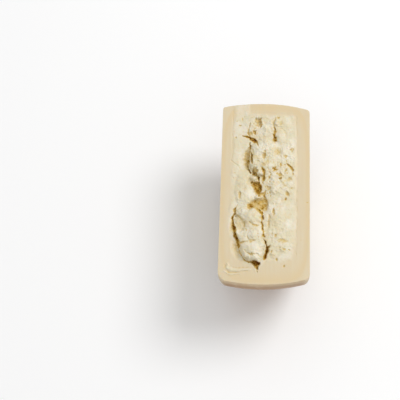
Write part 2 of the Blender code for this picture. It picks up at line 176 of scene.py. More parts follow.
alone(cheese)
bpy.ops.object.mode_set(mode="EDIT")
pick_edges(cheese, lambda co: abs(co.x) > THICKNESS / 2 - TOUCH)
bpy.ops.mesh.bevel(offset=EDGE_ROUNDING, segments=ROUNDING_STEPS, affect="EDGES")
bpy.ops.mesh.select_all(action="SELECT")
bpy.ops.mesh.bisect(plane_co=(0, 0, SPARE), plane_no=(0, 0, 1), clear_outer=True, use_fill=True)
bpy.ops.mesh.select_all(action="SELECT")
bpy.ops.transform.translate(value=(0, 0, BREAK_LEVEL))
bpy.ops.object.mode_set(mode="OBJECT")
apply_modifier(cheese, "REMESH", mode="VOXEL", voxel_size=VOXEL)
print("half drum:", len(cheese.data.polygons), "faces")

# %% [markdown]
# ## Noise that repeats
#
# Torn paste has no drawn outline anywhere, so everything below is bent, tilted and chipped by random
# numbers. They come from seeded tables, which give the same cheese each time the script runs.

# %% Noise helpers
TABLE_SIZE = 97
# how far from the middle of its cell a flake may lie, and how much higher or lower than the others
FLAKE_SHIFT = 0.45
FLAKE_LIFT = 0.5


def ease(share):
    """A soft step from 0 to 1."""
    share = np.clip(share, 0.0, 1.0)
    return share * share * (3 - 2 * share)


def random_table(seed, *shape):
    """Random numbers from -1 to 1, or groups of them, in rows and columns."""
    return np.random.default_rng(seed).uniform(-1, 1, (TABLE_SIZE, TABLE_SIZE, *shape))


def rolling(u, v, size, seed):
    """Smooth noise from -1 to 1 whose bumps are about one size across."""
    table = random_table(seed)
    x, y = u / size, v / size
    column, row = np.floor(x).astype(int), np.floor(y).astype(int)
    part_x, part_y = ease(x - column), ease(y - row)

    def corner(right, up):
        return table[(column + right) % TABLE_SIZE, (row + up) % TABLE_SIZE]

    near = corner(0, 0) * (1 - part_x) + corner(1, 0) * part_x
    far = corner(0, 1) * (1 - part_x) + corner(1, 1) * part_x
    return near * (1 - part_y) + far * part_y


def layered(u, v, size, seed, layers=3):
    """Rolling noise with finer noise on top."""
    return sum(rolling(u, v, size / 2**k, seed + k) / 2**k for k in range(layers))


def straying(u, v, reach, size, seed):
    """Noise with one finer layer on top, which strays by about its reach, in bumps of its size."""
    return reach * layered(u, v, size, seed, layers=2)


def flakes(u, v, size, crease, seed):
    """Tilted flakes, each about one size across: their height from -1 to 1, and 1 in the creases between."""
    offset, tilt = random_table(seed, 2), random_table(seed + 1, 3)
    x, y = u / size, v / size
    column, row = np.floor(x).astype(int), np.floor(y).astype(int)
    reach, height = [], []
    for right in (-1, 0, 1):
        for up in (-1, 0, 1):
            cell = (column + right) % TABLE_SIZE, (row + up) % TABLE_SIZE
            away_x = x - (column + right + 0.5 + FLAKE_SHIFT * offset[cell][..., 0])
            away_y = y - (row + up + 0.5 + FLAKE_SHIFT * offset[cell][..., 1])
            lean = tilt[cell]
            reach.append(np.hypot(away_x, away_y))
            height.append(lean[..., 0] * away_x + lean[..., 1] * away_y + FLAKE_LIFT * lean[..., 2])
    order = np.argsort(reach, axis=0)[:2]
    reach = np.take_along_axis(np.array(reach), order, axis=0)
    height = np.take_along_axis(np.array(height), order, axis=0)
    own = ease((reach[1] - reach[0]) / crease)
    return height[0] * (0.5 + 0.5 * own) + height[1] * (0.5 - 0.5 * own), 1 - own


print("each table holds", TABLE_SIZE, "by", TABLE_SIZE, "random numbers")

# %% [markdown]
# ## A rind that has been handled
#
# A wheel is turned, brushed and rolled for months, so no edge of it stays true. The corner between rim and
# face is rounder at some places than at others, and shallow waves and dents are pressed in all over. A
# modifier would treat every place alike, so the points are moved here by their own distance from the corner.

# %% Wear the rind
# rounding of the corner in millimetres at the near end and at the far end of the break
LEFT_ROUNDING = (17, 4.5)
RIGHT_ROUNDING = (10, 6)
# size of the waves and how deep they go, in millimetres, and their seed
WAVES = ((38, 0.5, 110), (13, 0.22, 114))
# how far every place is pressed in at least, in millimetres
LEAST_WEAR = 0.05
DENTS = 26
DENT_SEED = 9
# from the smallest to the largest dent: half its width and its depth, in millimetres
DENT_REACH = (5, 14)
DENT_DEPTH = (0.3, 1.1)


def rolling_in_space(places, size, seed):
    """Rolling noise for places in space, as the mean of its values on the three planes."""
    x, y, z = places.T
    return (rolling(x, y, size, seed) + rolling(y, z, size, seed + 1) + rolling(z, x, size, seed + 2)) / 3


def file_corner(places):
    """Rounds the corner between rim and face, by more towards the near end."""
    across, along, up = places.T
    around = np.hypot(along, up - BREAK_LEVEL)
    nearness = (1 - along / RADIUS) / 2
    near, far = np.where(across[:, None] < 0, LEFT_ROUNDING, RIGHT_ROUNDING).T * MM
    rounding = far + (near - far) * nearness
    from_face = rounding - (THICKNESS / 2 - np.abs(across))
    from_rim = rounding - (rim_radius(across) - around)
    out = np.hypot(from_face, from_rim)
    filed = (from_face > 0) & (from_rim > 0) & (out > rounding)
    back = np.where(filed, 1 - rounding / np.maximum(out, rounding), 0)
    shrink = 1 - from_rim * back / np.maximum(around, MM)
    return np.stack([
        across - np.sign(across) * from_face * back,
        along * shrink,
        BREAK_LEVEL + (up - BREAK_LEVEL) * shrink,
    ], axis=1)


places = file_corner(positions(cheese))
move_points(cheese, places)
normals = np.empty(3 * len(places))
cheese.data.vertex_normals.foreach_get("vector", normals)
pressed = np.full(len(places), LEAST_WEAR)
for size, depth, seed in WAVES:
    pressed += depth * (0.5 + 0.5 * rolling_in_space(places / MM, size, seed))
draw = np.random.default_rng(DENT_SEED)
for _ in range(DENTS):
    middle = places[draw.integers(len(places))]
    half, depth = draw.uniform(*DENT_REACH), draw.uniform(*DENT_DEPTH)
    pressed += depth * ease(1 - np.linalg.norm(places - middle, axis=1) / MM / half)
places = places - pressed[:, None] * MM * normals.reshape(-1, 3)
places[:, 2] = np.maximum(places[:, 2], 0)
move_points(cheese, places)
print(f"pressed in by up to {pressed.max():.1f} mm")

# %% [markdown]
# ## The break, as a map of heights
#
# The break could be sculpted by hand. Here each thing that can be told apart on it gets a name, a place and
# a size in millimetres, measured from the middle of the break: u runs across it and v along it. Masses stand
# proud, hollows are torn out, and cracks follow a few points. They are all seen on the real piece.

# %% Measure from outlines, ovals and lines
def along_line(u, v, start_u, start_v, end_u, end_v):
    """How far along a straight line each place is, from 0 to 1, and how far beside it."""
    run_u, run_v = end_u - start_u, end_v - start_v
    share = np.clip(((u - start_u) * run_u + (v - start_v) * run_v) / (run_u**2 + run_v**2), 0, 1)
    return share, np.hypot(u - start_u - share * run_u, v - start_v - share * run_v)


def outline_reach(u, v, points):
    """How far inside a closed outline each place is, in millimetres, and below 0 outside it."""
    nearest = np.full_like(u, np.inf)
    inside = np.zeros(u.shape, bool)
    for (start_u, start_v), (end_u, end_v) in zip(points, points[1:] + points[:1]):
        _, away = along_line(u, v, start_u, start_v, end_u, end_v)
        nearest = np.minimum(nearest, away)
        run_u, run_v = end_u - start_u, end_v - start_v
        crosses = (start_v > v) != (end_v > v)
        inside ^= crosses & (u < start_u + run_u * (v - start_v) / (run_v if run_v else 1))
    return np.where(inside, nearest, -nearest)


def oval_share(u, v, middle_u, middle_v, half_u, half_v, turn=0):
    """How far each place is from an oval's middle, as a share of the way to its edge."""
    c, s = math.cos(math.radians(turn)), math.sin(math.radians(turn))
    across, along = u - middle_u, v - middle_v
    return np.hypot((c * across + s * along) / half_u, (c * along - s * across) / half_v)


# share of its width that a crack keeps where noise makes it narrow, and how soon it is shallower there
LEAST_CRACK = 0.3
NARROW_POWER = 0.6


def crack_share(u, v, points, wander=0):
    """1 along a line through the points and 0 past its half width, which each point states last."""
    deepest = np.zeros_like(u)
    widest = max(half for _, _, half in points)
    for (start_u, start_v, start_half), (end_u, end_v, end_half) in zip(points, points[1:]):
        share, away = along_line(u, v, start_u, start_v, end_u, end_v)
        half = start_half + share * (end_half - start_half)
        half = np.maximum(half + wander, LEAST_CRACK * half)
        as_deep = np.minimum(half / widest, 1) ** NARROW_POWER
        deepest = np.maximum(deepest, ease(1 - away / half) * as_deep)
    return deepest


square = [(0, 0), (10, 0), (10, 10), (0, 10)]
reach = outline_reach(np.array([5.0]), np.array([4.0]), square)
print(f"5 across and 4 up in a square of 10, a place is {reach[0]:.0f} mm inside its outline")

# %% [markdown]
# ## The smooth band and the torn field
#
# A knife line is scored round the wheel before it is split, and the paste parts cleanly as deep as the line
# goes. That leaves the band. One closed outline states where the band ends and the torn field begins, and a
# little noise keeps the border from looking ruled.

# %% Part the torn field from the band
FIELD = [
    (-67, 215), (-36, 215), (-33, 177), (20, 176), (58, 172), (63, 140), (64, 40), (64, -60),
    (61, -118), (54, -148), (28, -154), (4, -151), (-5, -162), (-15, -176), (-24, -165), (-40, -160),
    (-56, -144), (-64, -118), (-72, -92), (-74, -62), (-70, -30), (-69, 20), (-68, 100),
]
# width of the border, and the share of it that lies outside the outline
FIELD_EDGE = 6
FIELD_OUTSIDE = 0.3
# how far the border strays and how long its bends are, in millimetres, and their seed
FIELD_WANDER = (2, 13, 42)


def torn_share(u, v, edge=FIELD_EDGE):
    """1 where the paste is torn and 0 on the band. A tongue of torn paste runs out to the far rim."""
    reach, size, seed = FIELD_WANDER
    wander = reach * rolling(u, v, size, seed)
    return ease((outline_reach(u, v, FIELD) + wander) / edge + FIELD_OUTSIDE)


print("the torn field's outline has", len(FIELD), "points")

# %% [markdown]
# ## What stands proud
#
# The tear ran off the plane of the knife line, so whole lumps stayed on this half. The largest is stated by
# its outline, because its shape is plain to see, and its back falls away to the left. The others are domes
# of an oval plan. Where two of them meet, the higher one wins, which leaves a crease as in real paste.

# %% Raise the masses
# how high all torn paste stands over the band at least, in millimetres
PLATEAU = 0.7
GREAT_LUMP = [
    (-30, -37), (-20, -37), (-10, -45), (-5, -52), (-4, -70), (0, -88), (1, -103), (4, -114),
    (3, -124), (0, -137), (-3, -147), (-10, -152), (-22, -152), (-30, -150), (-38, -143), (-47, -130),
    (-48, -117), (-54, -104), (-59, -88), (-62, -70), (-60, -55), (-56, -43), (-45, -36),
]
# how high it stands and how broad its rounded shoulder is, in millimetres
GREAT_LUMP_RISE = 14
GREAT_LUMP_SHOULDER = 10
# how far its edge strays, how large the notches are, and their seed
GREAT_LUMP_WANDER = (2.2, 8, 95)
# where its ridge runs, how steeply its back falls away to the left of that, and how far
GREAT_LUMP_RIDGE = -22
GREAT_LUMP_FALL = 0.14
GREAT_LUMP_BACK = 38
# name, middle u and v, half width, half length, rise, turn in degrees, steepness
MASSES = (
    ("crown", 2, 148, 52, 36, 5, 0, 2),
    ("shoulder", -4, 78, 30, 44, 13, -4, 5),
    ("right field", 31, 48, 40, 84, 6.5, 0, 2),
    ("apron", -42, 2, 20, 40, 5, 0, 2.5),
    ("lower field", 28, -72, 36, 82, 5.5, 0, 1.7),
    ("pale lump", 30, 121, 12, 20, 7, 4, 2),
    ("knob", 23, 156, 5.5, 9, 8, 0, 3),
    ("bridge", -23, 28, 8, 6.5, 7, 0, 3),
    ("pebble", -12, -14, 8, 5, 7, 0, 3),
)
# how soon a swelling reaches its full rise, going inwards from its edge
SWELLING_STEEPNESS = 1.2
# name, middle u and v, half width, half length, rise: low swellings on top of all that
SWELLINGS = (
    ("lump's upper lobe", -24, -56, 21, 19, 3.5),
    ("lump's flank", -20, -88, 17, 20, 2.5),
    ("lump's foot", -24, -124, 23, 17, 4),
    ("lump's lip", -40, -137, 9, 13, 3),
    ("lump's left ridge", -55, -88, 7, 17, 2.5),
    ("shoulder's top", -8, 94, 22, 16, 3),
    ("shoulder's flank", 8, 62, 20, 18, 2.5),
    ("shoulder's corner", -20, 72, 9, 20, 2),
    ("field's ridge", 20, 12, 14, 24, 2.5),
    ("field's knoll", 26, -52, 20, 26, 2.5),
    ("lower knoll", 42, -124, 13, 11, 2.5),
    ("white knoll", 18, -137, 8, 10, 3),
    ("right knoll", 48, 110, 12, 24, 1.5),
)
# name, rise, points as u, v and half width: thin lips that the knife raised
RIDGES = (
    ("scored corner", 2, (
        (-72, -156, 2.4), (-71, -165, 4.4), (-64, -168.5, 4.8), (-52, -169.5, 4.4), (-40, -169, 3.6),
        (-26, -168, 2))),
    ("corner's second lip", 1.2, (
        (-78, -172, 1.6), (-70, -177, 2.2), (-60, -179, 2.2), (-46, -178, 1.6))),
)


def mass_height(u, v):
    """The masses' upper outline, with creases where they meet."""
    height = np.full_like(u, PLATEAU)
    for _, middle_u, middle_v, half_u, half_v, rise, turn, steepness in MASSES:
        share = np.minimum(oval_share(u, v, middle_u, middle_v, half_u, half_v, turn), 1)
        dome = (1 - share**steepness) ** (2 / steepness)
        height = np.maximum(height, PLATEAU + (rise - PLATEAU) * dome)
    ragged = straying(u, v, *GREAT_LUMP_WANDER)
    reach = np.clip((outline_reach(u, v, GREAT_LUMP) + ragged) / GREAT_LUMP_SHOULDER, 0, 1)
    fall = GREAT_LUMP_FALL * np.clip(GREAT_LUMP_RIDGE - u, 0, GREAT_LUMP_BACK)
    height = np.maximum(height, (GREAT_LUMP_RISE - fall) * np.sqrt(1 - (1 - reach) ** 2))
    for _, middle_u, middle_v, half_u, half_v, rise in SWELLINGS:
        inward = 1 - oval_share(u, v, middle_u, middle_v, half_u, half_v)
        height = height + rise * ease(SWELLING_STEEPNESS * inward)
    return height


print(len(MASSES) + 1, "masses,", len(SWELLINGS), "swellings and", len(RIDGES), "lips")

# %% [markdown]
# ## What is torn out
#
# Other lumps went away with the other half. Holes have an outline of their own and a steep wall. Hollows are
# soft ovals. Cracks follow a few points and grow wider and narrower on the way. Each row also holds a number
# from 0 to 1 for how golden to brown the paste is painted down there: mostly painted shade, warmed as for
# light glowing through the paste, and in a few rows the paste's own tint.

# %% Holes with an outline
# name, depth, painted shade and stain, width of the sloping wall, outline as u and v
HOLES = (
    ("crown crack", 6, 1.0, 2.2, (
        (-36, 123), (-30, 121), (-23, 119), (-18, 113), (-17, 107), (-22, 107), (-28, 110), (-35, 115))),
    ("lump's edge", 6, 0.78, 3, ((15, 128), (20, 129), (23, 121), (23, 111), (18, 107), (13, 112))),
    ("neck hollow", 8, 0.38, 5, (
        (-26, 50), (-22, 53), (-16, 53), (-13, 47), (-13, 38), (-15, 32), (-22, 31), (-26, 35),
        (-26, 43))),
    ("deep hollow", 9, 0.58, 4, (
        (-29, 19), (-26, 22), (-19, 20), (-12, 20), (-7, 11), (-6, 0), (-11, -9), (-17, -10), (-22, -3),
        (-25, 5), (-29, 13))),
    ("open cavity", 5, 0.34, 8, (
        (-34, -30), (-29, -22), (-20, -18), (-10, -17), (-2, -15), (6, -19), (7, -30), (6, -43), (0, -47),
        (-7, -45), (-14, -42), (-22, -38), (-31, -37))),
    ("lump's dish", 4, 0.12, 5, (
        (-60, -49), (-52, -53), (-42, -60), (-36, -68), (-37, -77), (-43, -88), (-50, -93), (-56, -84),
        (-60, -70))),
    ("slot", 6, 0.52, 3, (
        (3, -114), (7, -119), (13, -117), (12, -122), (9, -129), (6, -136), (3, -142), (0, -146),
        (0, -139), (2, -132), (3, -124))),
    ("foot hole", 8, 1.0, 3, (
        (-33, -149), (-24, -151), (-14, -152), (-6, -153), (-6, -157), (-10, -160), (-12, -166),
        (-14, -175), (-17, -168), (-21, -162), (-25, -155))),
)
print(len(HOLES), "holes")

# %% Soft hollows
# name, middle u and v, half width, half length, turn in degrees, depth, painted shade and stain, steepness
# of the wall
# the last row takes nothing away: it only tints the paste next to the far rim
HOLLOWS = (
    ("upper dimple", -15, 155, 8, 13, 0, 8, 0.2, 1.6),
    ("dimple's left part", -21, 155, 5, 9, 0, 5, 0.08, 1.5),
    ("valley", -37, 68, 7, 32, 2, 9, 0.1, 1.2),
    ("valley's slope", -43, 66, 13, 36, 0, 4, 0.08, 1),
    ("cavity's floor", -12, -35, 19, 8, -8, 6, 0.4, 1.5),
    ("cavity's corner", 0, -34, 7, 13, 0, 6, 0.38, 1.6),
    ("scoop", 24, 90, 8, 19, 32, 3, 0.22, 1.3),
    ("side dent", 18, -44, 4, 12, 0, 3, 0.32, 1.4),
    ("right dent", 45, -5, 5, 9, 24, 3, 0.3, 1.3),
    ("field dent", 36, -107, 13, 6, 0, 2.5, 0.36, 1.1),
    ("notch", -51, -9, 4, 11, 8, 3, 0.34, 1.5),
    ("upper furrow", -1, 82, 4.4, 13, -8, 3.5, 0.34, 1.5),
    ("valley's foot", -32, 22, 9, 14, 0, 3, 0.16, 1.3),
    # the next two rows paint the shadow that the great lump casts to its left, over a shallow dip in the
    # paste
    ("lump's lower left shade", -55, -128, 11, 30, 14, 5, 0.17, 1),
    ("lump's left shade", -66, -78, 8, 26, 0, 2.5, 0.2, 1),
    ("knob's left side", 16, 152, 3.4, 9, 0, 2.5, 0.2, 1.1),
    ("knob's right side", 31, 154, 4.5, 12, 4, 2, 0.24, 1.1),
    ("crown's yellower paste", 0, 150, 68, 60, 0, 0, 0.06, 1.3),
)
print(len(HOLLOWS), "hollows")

# %% Cracks
# name, depth, painted shade and stain, points as u, v and half width
CRACKS = (
    ("crown crack's arm", 5, 0.75, ((-48, 123, 2), (-42, 122, 3.6), (-36, 121, 4), (-31, 118, 4.4))),
    ("crown crack's tail", 4, 0.5, ((-21, 110, 2.4), (-15, 103, 1.4))),
    ("crown's edge", 4, 0.28, ((-33, 154, 1.6), (-35, 143, 3), (-38, 130, 3.4), (-36, 124, 3))),
    ("dimple's streak", 8, 0.36, ((-11, 166, 2), (-11, 158, 3.6), (-11, 150, 4), (-12, 143, 2))),
    ("dimple's left streak", 6, 0.26, ((-20, 166, 2), (-19, 158, 3.6), (-18, 150, 3), (-14, 146, 2))),
    ("dimple's foot", 3, 0.24, ((-26, 152, 1.4), (-21, 149, 2.6), (-16, 148, 2))),
    ("lump's upper edge", 4, 0.5, ((16, 146, 1.6), (20, 142, 3), (20, 136, 2.2), (19, 127, 3))),
    ("knob's left line", 2.5, 0.3, ((19, 165, 1.6), (17, 156, 2.2), (17, 149, 2.6), (20, 144, 2))),
    ("pale lump's rim", 0.8, 0.12, ((30, 143, 2.2), (36, 139, 3), (40, 132, 2.6), (42, 121, 1.8))),
    ("valley's dark line", 9, 0.52, (
        (-33, 108, 1.6), (-32, 99, 3), (-34, 90, 2.6), (-36, 78, 3.8), (-37, 64, 5), (-36, 54, 4.2),
        (-34, 46, 3.4), (-30, 39, 2.4))),
    # this row paints the shade that the shoulder casts into the valley, over a wide groove
    ("valley's shade", 7.5, 0.33, ((-34, 96, 3), (-38, 86, 7), (-40, 72, 9), (-39, 58, 8), (-35, 46, 5))),
    ("inner valley", 7.5, 0.42, ((-32, 90, 2), (-29, 80, 3.6), (-26, 70, 4.4), (-25, 60, 2.6))),
    ("neck's floor", 9, 0.85, (
        (-24, 36, 1.6), (-20, 36, 3), (-16, 38, 3.4), (-14, 31, 3), (-13, 22, 2.4))),
    ("hollow's upper edge", 10, 0.75, (
        (-29, 18, 2), (-24, 18, 3), (-17, 18, 2), (-12, 14, 3.4), (-10, 5, 3.6), (-11, -3, 3),
        (-15, -8, 2))),
    ("middle crack", 4, 0.75, (
        (-5, 52, 2), (-2, 47, 5), (-1, 41, 4), (-2, 35, 4.4), (-2, 29, 6), (-2, 22, 2))),
    ("hollow's inner line", 10, 0.66, (
        (-27, 20, 2), (-24, 12, 2.6), (-20, 4, 3), (-14, -4, 2.6), (-12, -12, 2))),
    ("hollow's right side", 10, 0.82, ((-12, 20, 2), (-10, 12, 4), (-9, 4, 4), (-12, -6, 2.4))),
    ("cavity's dark eye", 8, 1, ((-11, -37, 2), (-7, -38, 5), (-3, -37, 4), (-1, -31, 2))),
    ("middle line", 2, 0.36, ((-8, 34, 1.2), (-5, 20, 1.8), (1, 8, 2), (4, 6, 1.2))),
    ("middle seam", 4, 0.5, ((2, 2, 1.6), (-1, -4, 3.4), (-2, -10, 4), (-1, -16, 2.4), (0, -20, 1.6))),
    ("hollow's foot", 3, 0.42, ((-14, -8, 3), (-8, -7, 4), (-2, -6, 3))),
    ("right crack", 4, 0.5, (
        (44, 63, 1), (49, 58, 2), (54, 53, 3.6), (57, 49, 3.6), (56, 43, 2), (57, 37, 2.2))),
    ("lump's upper left", 6, 0.6, (
        (-56, -32, 1.4), (-60, -38, 2.6), (-61, -43, 3.6), (-60, -50, 2.4), (-63, -57, 2))),
    ("lump's left side", 6, 0.92, (
        (-63, -55, 2), (-66, -62, 4), (-64, -71, 4.6), (-62, -80, 5.2), (-59, -90, 5.6), (-57, -99, 4.6),
        (-54, -106, 3.6))),
    ("lump's lower left", 4, 0.62, (
        (-56, -102, 4), (-52, -110, 5.5), (-50, -119, 4.6), (-50, -128, 2.4), (-46, -138, 2.6),
        (-39, -148, 2.4), (-31, -153, 3))),
    ("dish's rim", 3.5, 0.26, (
        (-57, -54, 2.4), (-50, -57, 3.6), (-43, -62, 3.8), (-39, -69, 3.8), (-39, -78, 3.4),
        (-42, -86, 2))),
    ("lump's top side", 7, 0.85, (
        (-32, -31, 2.4), (-27, -34, 4.2), (-20, -37, 1.6), (-13, -41, 4), (-6, -48, 2.4))),
    ("lump's right side", 6, 0.75, (
        (-6, -46, 2.6), (-5, -53, 1.2), (-5, -60, 3.2), (-6, -67, 1), (-5, -72, 1.4), (-5, -77, 3.2),
        (-3, -85, 1.4), (-1, -92, 1), (0, -98, 3), (1, -104, 1.2))),
    ("slot's low end", 9, 1, ((5, -119, 2), (5, -127, 3), (4, -134, 4), (2, -141, 4.4), (0, -146, 2.6))),
    ("slot's top", 8, 0.7, ((0, -104, 1.2), (3, -111, 2.8), (5, -117, 2.4))),
    ("lump's waist", 3, 0.26, (
        (-53, -113, 4), (-42, -112, 2.6), (-32, -110, 2.2), (-25, -107, 3.4), (-18, -106, 1.8))),
    ("lump's waist branch", 2, 0.18, ((-32, -98, 1.6), (-29, -104, 2.6), (-27, -109, 2.4))),
    ("lump's scratch", 2, 0.28, (
        (-29, -66, 1.6), (-25, -71, 2.4), (-19, -75, 3), (-12, -77, 2), (-7, -75, 1.4))),
    ("lump's lower crease", 2, 0.26, (
        (-38, -127, 1.6), (-33, -133, 2.4), (-26, -137, 3.4), (-19, -136, 2.6), (-12, -134, 3),
        (-6, -138, 1.4))),
    ("groove", 2.5, 0.26, ((8, -50, 2), (9, -62, 4.4), (8, -80, 2.4))),
    ("plateau's crack", 1, 0.12, ((-70, 68, 1.4), (-62, 60, 1.8), (-55, 55, 1.8), (-48, 47, 1.2))),
    ("left score", 0.5, 0.12, ((-69, 193, 1.6), (-69, 150, 1.4), (-68, 90, 1.2), (-69, 70, 1))),
    ("right score", 0.5, 0.1, (
        (62, 168, 1.2), (64, 90, 1.4), (64, 20, 1.2), (64, -60, 1.4), (63, -140, 1))),
    ("corner's line", 1, 0.24, (
        (-77, -160, 1.2), (-75, -168, 1.8), (-68, -174.5, 2), (-50, -175.5, 2), (-32, -172, 1.2))),
    ("corner's inner line", 0.8, 0.24, ((-66, -163, 1.2), (-50, -165, 1.8), (-30, -164, 1.2))),
)
print(len(CRACKS), "cracks")

# %% Pits, by name and strewn
# name, middle u and v, half width, depth, painted shade and stain
PITS = (
    ("left speck", -54, 148, 3.4, 2, 0.35), ("low speck", -62, 120, 3.4, 2, 0.3),
    ("ochre pit", -23, 132, 5.6, 3.5, 0.56), ("olive pit", -33, 128, 5, 3, 0.4),
    ("dimple's tail", -26, 168, 4, 2, 0.2), ("knob's crown", 25, 167, 5, 2, 0.4),
    ("right pit", 54, 94, 5, 2.5, 0.3), ("scoop's pit", 41, 79, 4.6, 2.5, 0.4),
    ("red pit", 21, 50, 6, 4, 0.7), ("long pit", 32, 36, 5.6, 3, 0.7),
    ("long pit's tail", 33, 29, 4.6, 3, 0.66), ("soft pit", 49, 26, 6.5, 2, 0.3),
    ("cavity's eye", -4, -34, 8, 4, 0.8), ("cavity's left eye", -28, -33, 7, 4, 1.0),
    ("cavity's far eye", 1, -22, 6, 2, 0.4), ("cavity's mid eye", -13, -29, 5, 2, 0.55),
    ("near pit", 39, -161, 4, 2, 0.45), ("small pit", 24, -147, 3.6, 2.5, 0.38),
    ("streak", 23, -96, 4, 2, 0.3), ("tail pit", 42, -17, 4.4, 2, 0.46), ("mid pit", 9, 30, 4, 2, 0.34),
    ("seam pit", 5, 10, 4, 2, 0.34), ("knoll pit", 41, -124, 5, 2.5, 0.42),
    ("waist pit", -25, -108, 4, 2, 0.3), ("band speck", 73.5, -105, 2.2, 1, 0.6),
    ("band speck above", 85, -23, 2.2, 0.6, 0.35),
)
# name, middle u and v, spread across and along, number, largest half width
PIT_FIELDS = (
    ("right field", 30, 36, 24, 40, 38, 2.2),
    ("crown", 0, 138, 26, 18, 12, 1.8),
    ("lower field", 34, -112, 20, 32, 15, 1.9),
    ("middle", -4, 0, 22, 40, 14, 2.0),
    ("great lump", -28, -95, 20, 45, 10, 1.6),
    ("plateau", -55, 90, 12, 80, 10, 1.4),
)
PIT_SEED = 11
# smallest and largest share of the largest half width, and how many times longer than wide a pit is
PIT_SIZES = (0.45, 1)
PIT_STRETCHES = (1, 3.5)
# the turns in degrees, the painted shade and stain, and how deep a pit is for its half width
PIT_TURNS = (-75, 75)
PIT_SHADE_STAINS = (0.15, 0.55)
PIT_STEEPNESS = 0.7


def scattered_pits():
    """Short cracks and pits strewn over the torn fields, as rows with a half length and a turn too."""
    draw = np.random.default_rng(PIT_SEED)
    rows = []
    for name, middle_u, middle_v, spread_u, spread_v, number, largest in PIT_FIELDS:
        for _ in range(number):
            across, along = draw.uniform(-1, 1, 2)
            half, stretch = largest * draw.uniform(*PIT_SIZES), draw.uniform(*PIT_STRETCHES)
            turn, shade_and_stain = draw.uniform(*PIT_TURNS), draw.uniform(*PIT_SHADE_STAINS)
            rows.append((name, middle_u + spread_u * across, middle_v + spread_v * along, half,
                         half * stretch, turn, PIT_STEEPNESS * half, shade_and_stain))
    return rows


print(len(PITS) + len(scattered_pits()), "pits")

# %% All that is missing, together
# how far holes' outlines and cracks' walls stray and how long the bends are, in millimetres, and the seed
HOLE_WANDER = (1.3, 5, 84)
CRACK_WANDER = (1.5, 7, 80)
# the same for pits and for the floors of all of these, as a share of a pit's size and of the depth
PIT_RAGGEDNESS = (0.4, 3.2, 86)
FLOOR_UNEVENNESS = (0.3, 6.5, 88)
# share of a hole's painted shade and stain that its rim already has, and how far in the rest comes
HOLE_RIM_SHADE_SHARE = 0.5
SHADE_STAIN_REACH = 4
# share of a hole's wall that lies outside its outline
WALL_OUTSIDE = 0.3
# below 1, the painted shade and stain is already strong where the depth is still small
SHADE_STAIN_POWER = 0.7


def losses(u, v):
    """How much the holes, hollows, cracks and pits take away, and how much painted shade, golden to dark,
    the paste gets in them.
    """
    found = []
    ragged = straying(u, v, *HOLE_WANDER)
    for _, depth, shade_and_stain, wall, points in HOLES:
        reach = outline_reach(u, v, list(points)) + ragged
        inner = HOLE_RIM_SHADE_SHARE + (1 - HOLE_RIM_SHADE_SHARE) * ease(reach / SHADE_STAIN_REACH)
        found.append((ease(reach / wall + WALL_OUTSIDE), depth, shade_and_stain * inner))
    for _, middle_u, middle_v, half_u, half_v, turn, depth, shade_and_stain, wall in HOLLOWS:
        share = ease(wall * (1 - oval_share(u, v, middle_u, middle_v, half_u, half_v, turn)))
        found.append((share, depth, shade_and_stain))
    wander = straying(u, v, *CRACK_WANDER)
    for _, depth, shade_and_stain, points in CRACKS:
        found.append((crack_share(u, v, points, wander), depth, shade_and_stain))
    rows = [(name, *place, half, half, 0, depth, shade_and_stain) for name, *place, half, depth, shade_and_stain in PITS]
    uneven = straying(u, v, *PIT_RAGGEDNESS)
    for _, middle_u, middle_v, half_u, half_v, turn, depth, shade_and_stain in [*rows, *scattered_pits()]:
        share = ease(1 - oval_share(u, v, middle_u, middle_v, half_u, half_v, turn) + uneven)
        found.append((share, depth, shade_and_stain))
    loss, shade_and_stain_map = np.zeros_like(u), np.zeros_like(u)
    for share, depth, shade_and_stain in found:
        loss = np.maximum(loss, depth * share)
        shade_and_stain_map = np.maximum(shade_and_stain_map, shade_and_stain * share**SHADE_STAIN_POWER)
    return loss * (1 + straying(u, v, *FLOOR_UNEVENNESS)), shade_and_stain_map


depth, shade_and_stain_map = losses(np.array([-16.0]), np.array([8.0]))
print(f"the deep hollow is {depth[0]:.1f} mm deep in the middle, with a stain of {shade_and_stain_map[0]:.2f}")

# %% [markdown]
# ## Crumb and flakes
#
# The cheese is pressed from small curds, and the tear runs between them. Rounded bumps of four sizes stand
# for the curds, and small tilted planes of four sizes stand for the flakes. The crumb is faint on the low
# plateau and strong on the masses and down in the holes. A bump in the finish alone would look flat from
# the side, so all of this goes into the same map of heights as the masses.

# %% Put the relief together
# size of a curd, its rise, seed
CURD_LAYERS = ((19, 2.6, 20), (9, 1.6, 24), (4.5, 0.9, 28), (2.4, 0.5, 31))
# size of a flake, how much its tilt lifts it, depth of the crease round it, seed
FLAKE_LAYERS = ((24, 1.4, 0.3, 3), (11, 1.2, 0.3, 8), (5.2, 1.0, 0.3, 15), (2.8, 0.6, 0.2, 19))
# width of the creases between flakes, as a share of a flake
CREASE_SHARE = 0.3
# share of a curd's rise at which the crumb is level, and below which lies a groove between two curds
CURD_LEVEL = 0.4
CURD_GROOVE = 0.16
# how deep a groove has to be for full painted shade in it, how dark that painted shade is, and size and seed
# of where creases show
CREASE_FULL = 3
CREASE_SHADE = 0.24
CREASE_FIELDS = (30, 90)
# share of the crumb on the lowest places, the height in millimetres that has all of it, and how much of
# it full painted shade and stain adds
LEAST_CRUMB = 0.22
FULL_CRUMB_AT = 6
SHADE_STAINED_CRUMB = 0.6
# how much paler a millimetre of crumb makes the painted shade and stain, so that low places are painted
# darker, and the least and most that this does
SHADE_STAIN_BREAKUP = 0.14
SHADE_STAIN_RANGE = (0.55, 1.35)
# how far the whole map is bent, how large the bends are, and their seed
WARPS = ((1.3, 17, 50), (1.0, 5, 60))
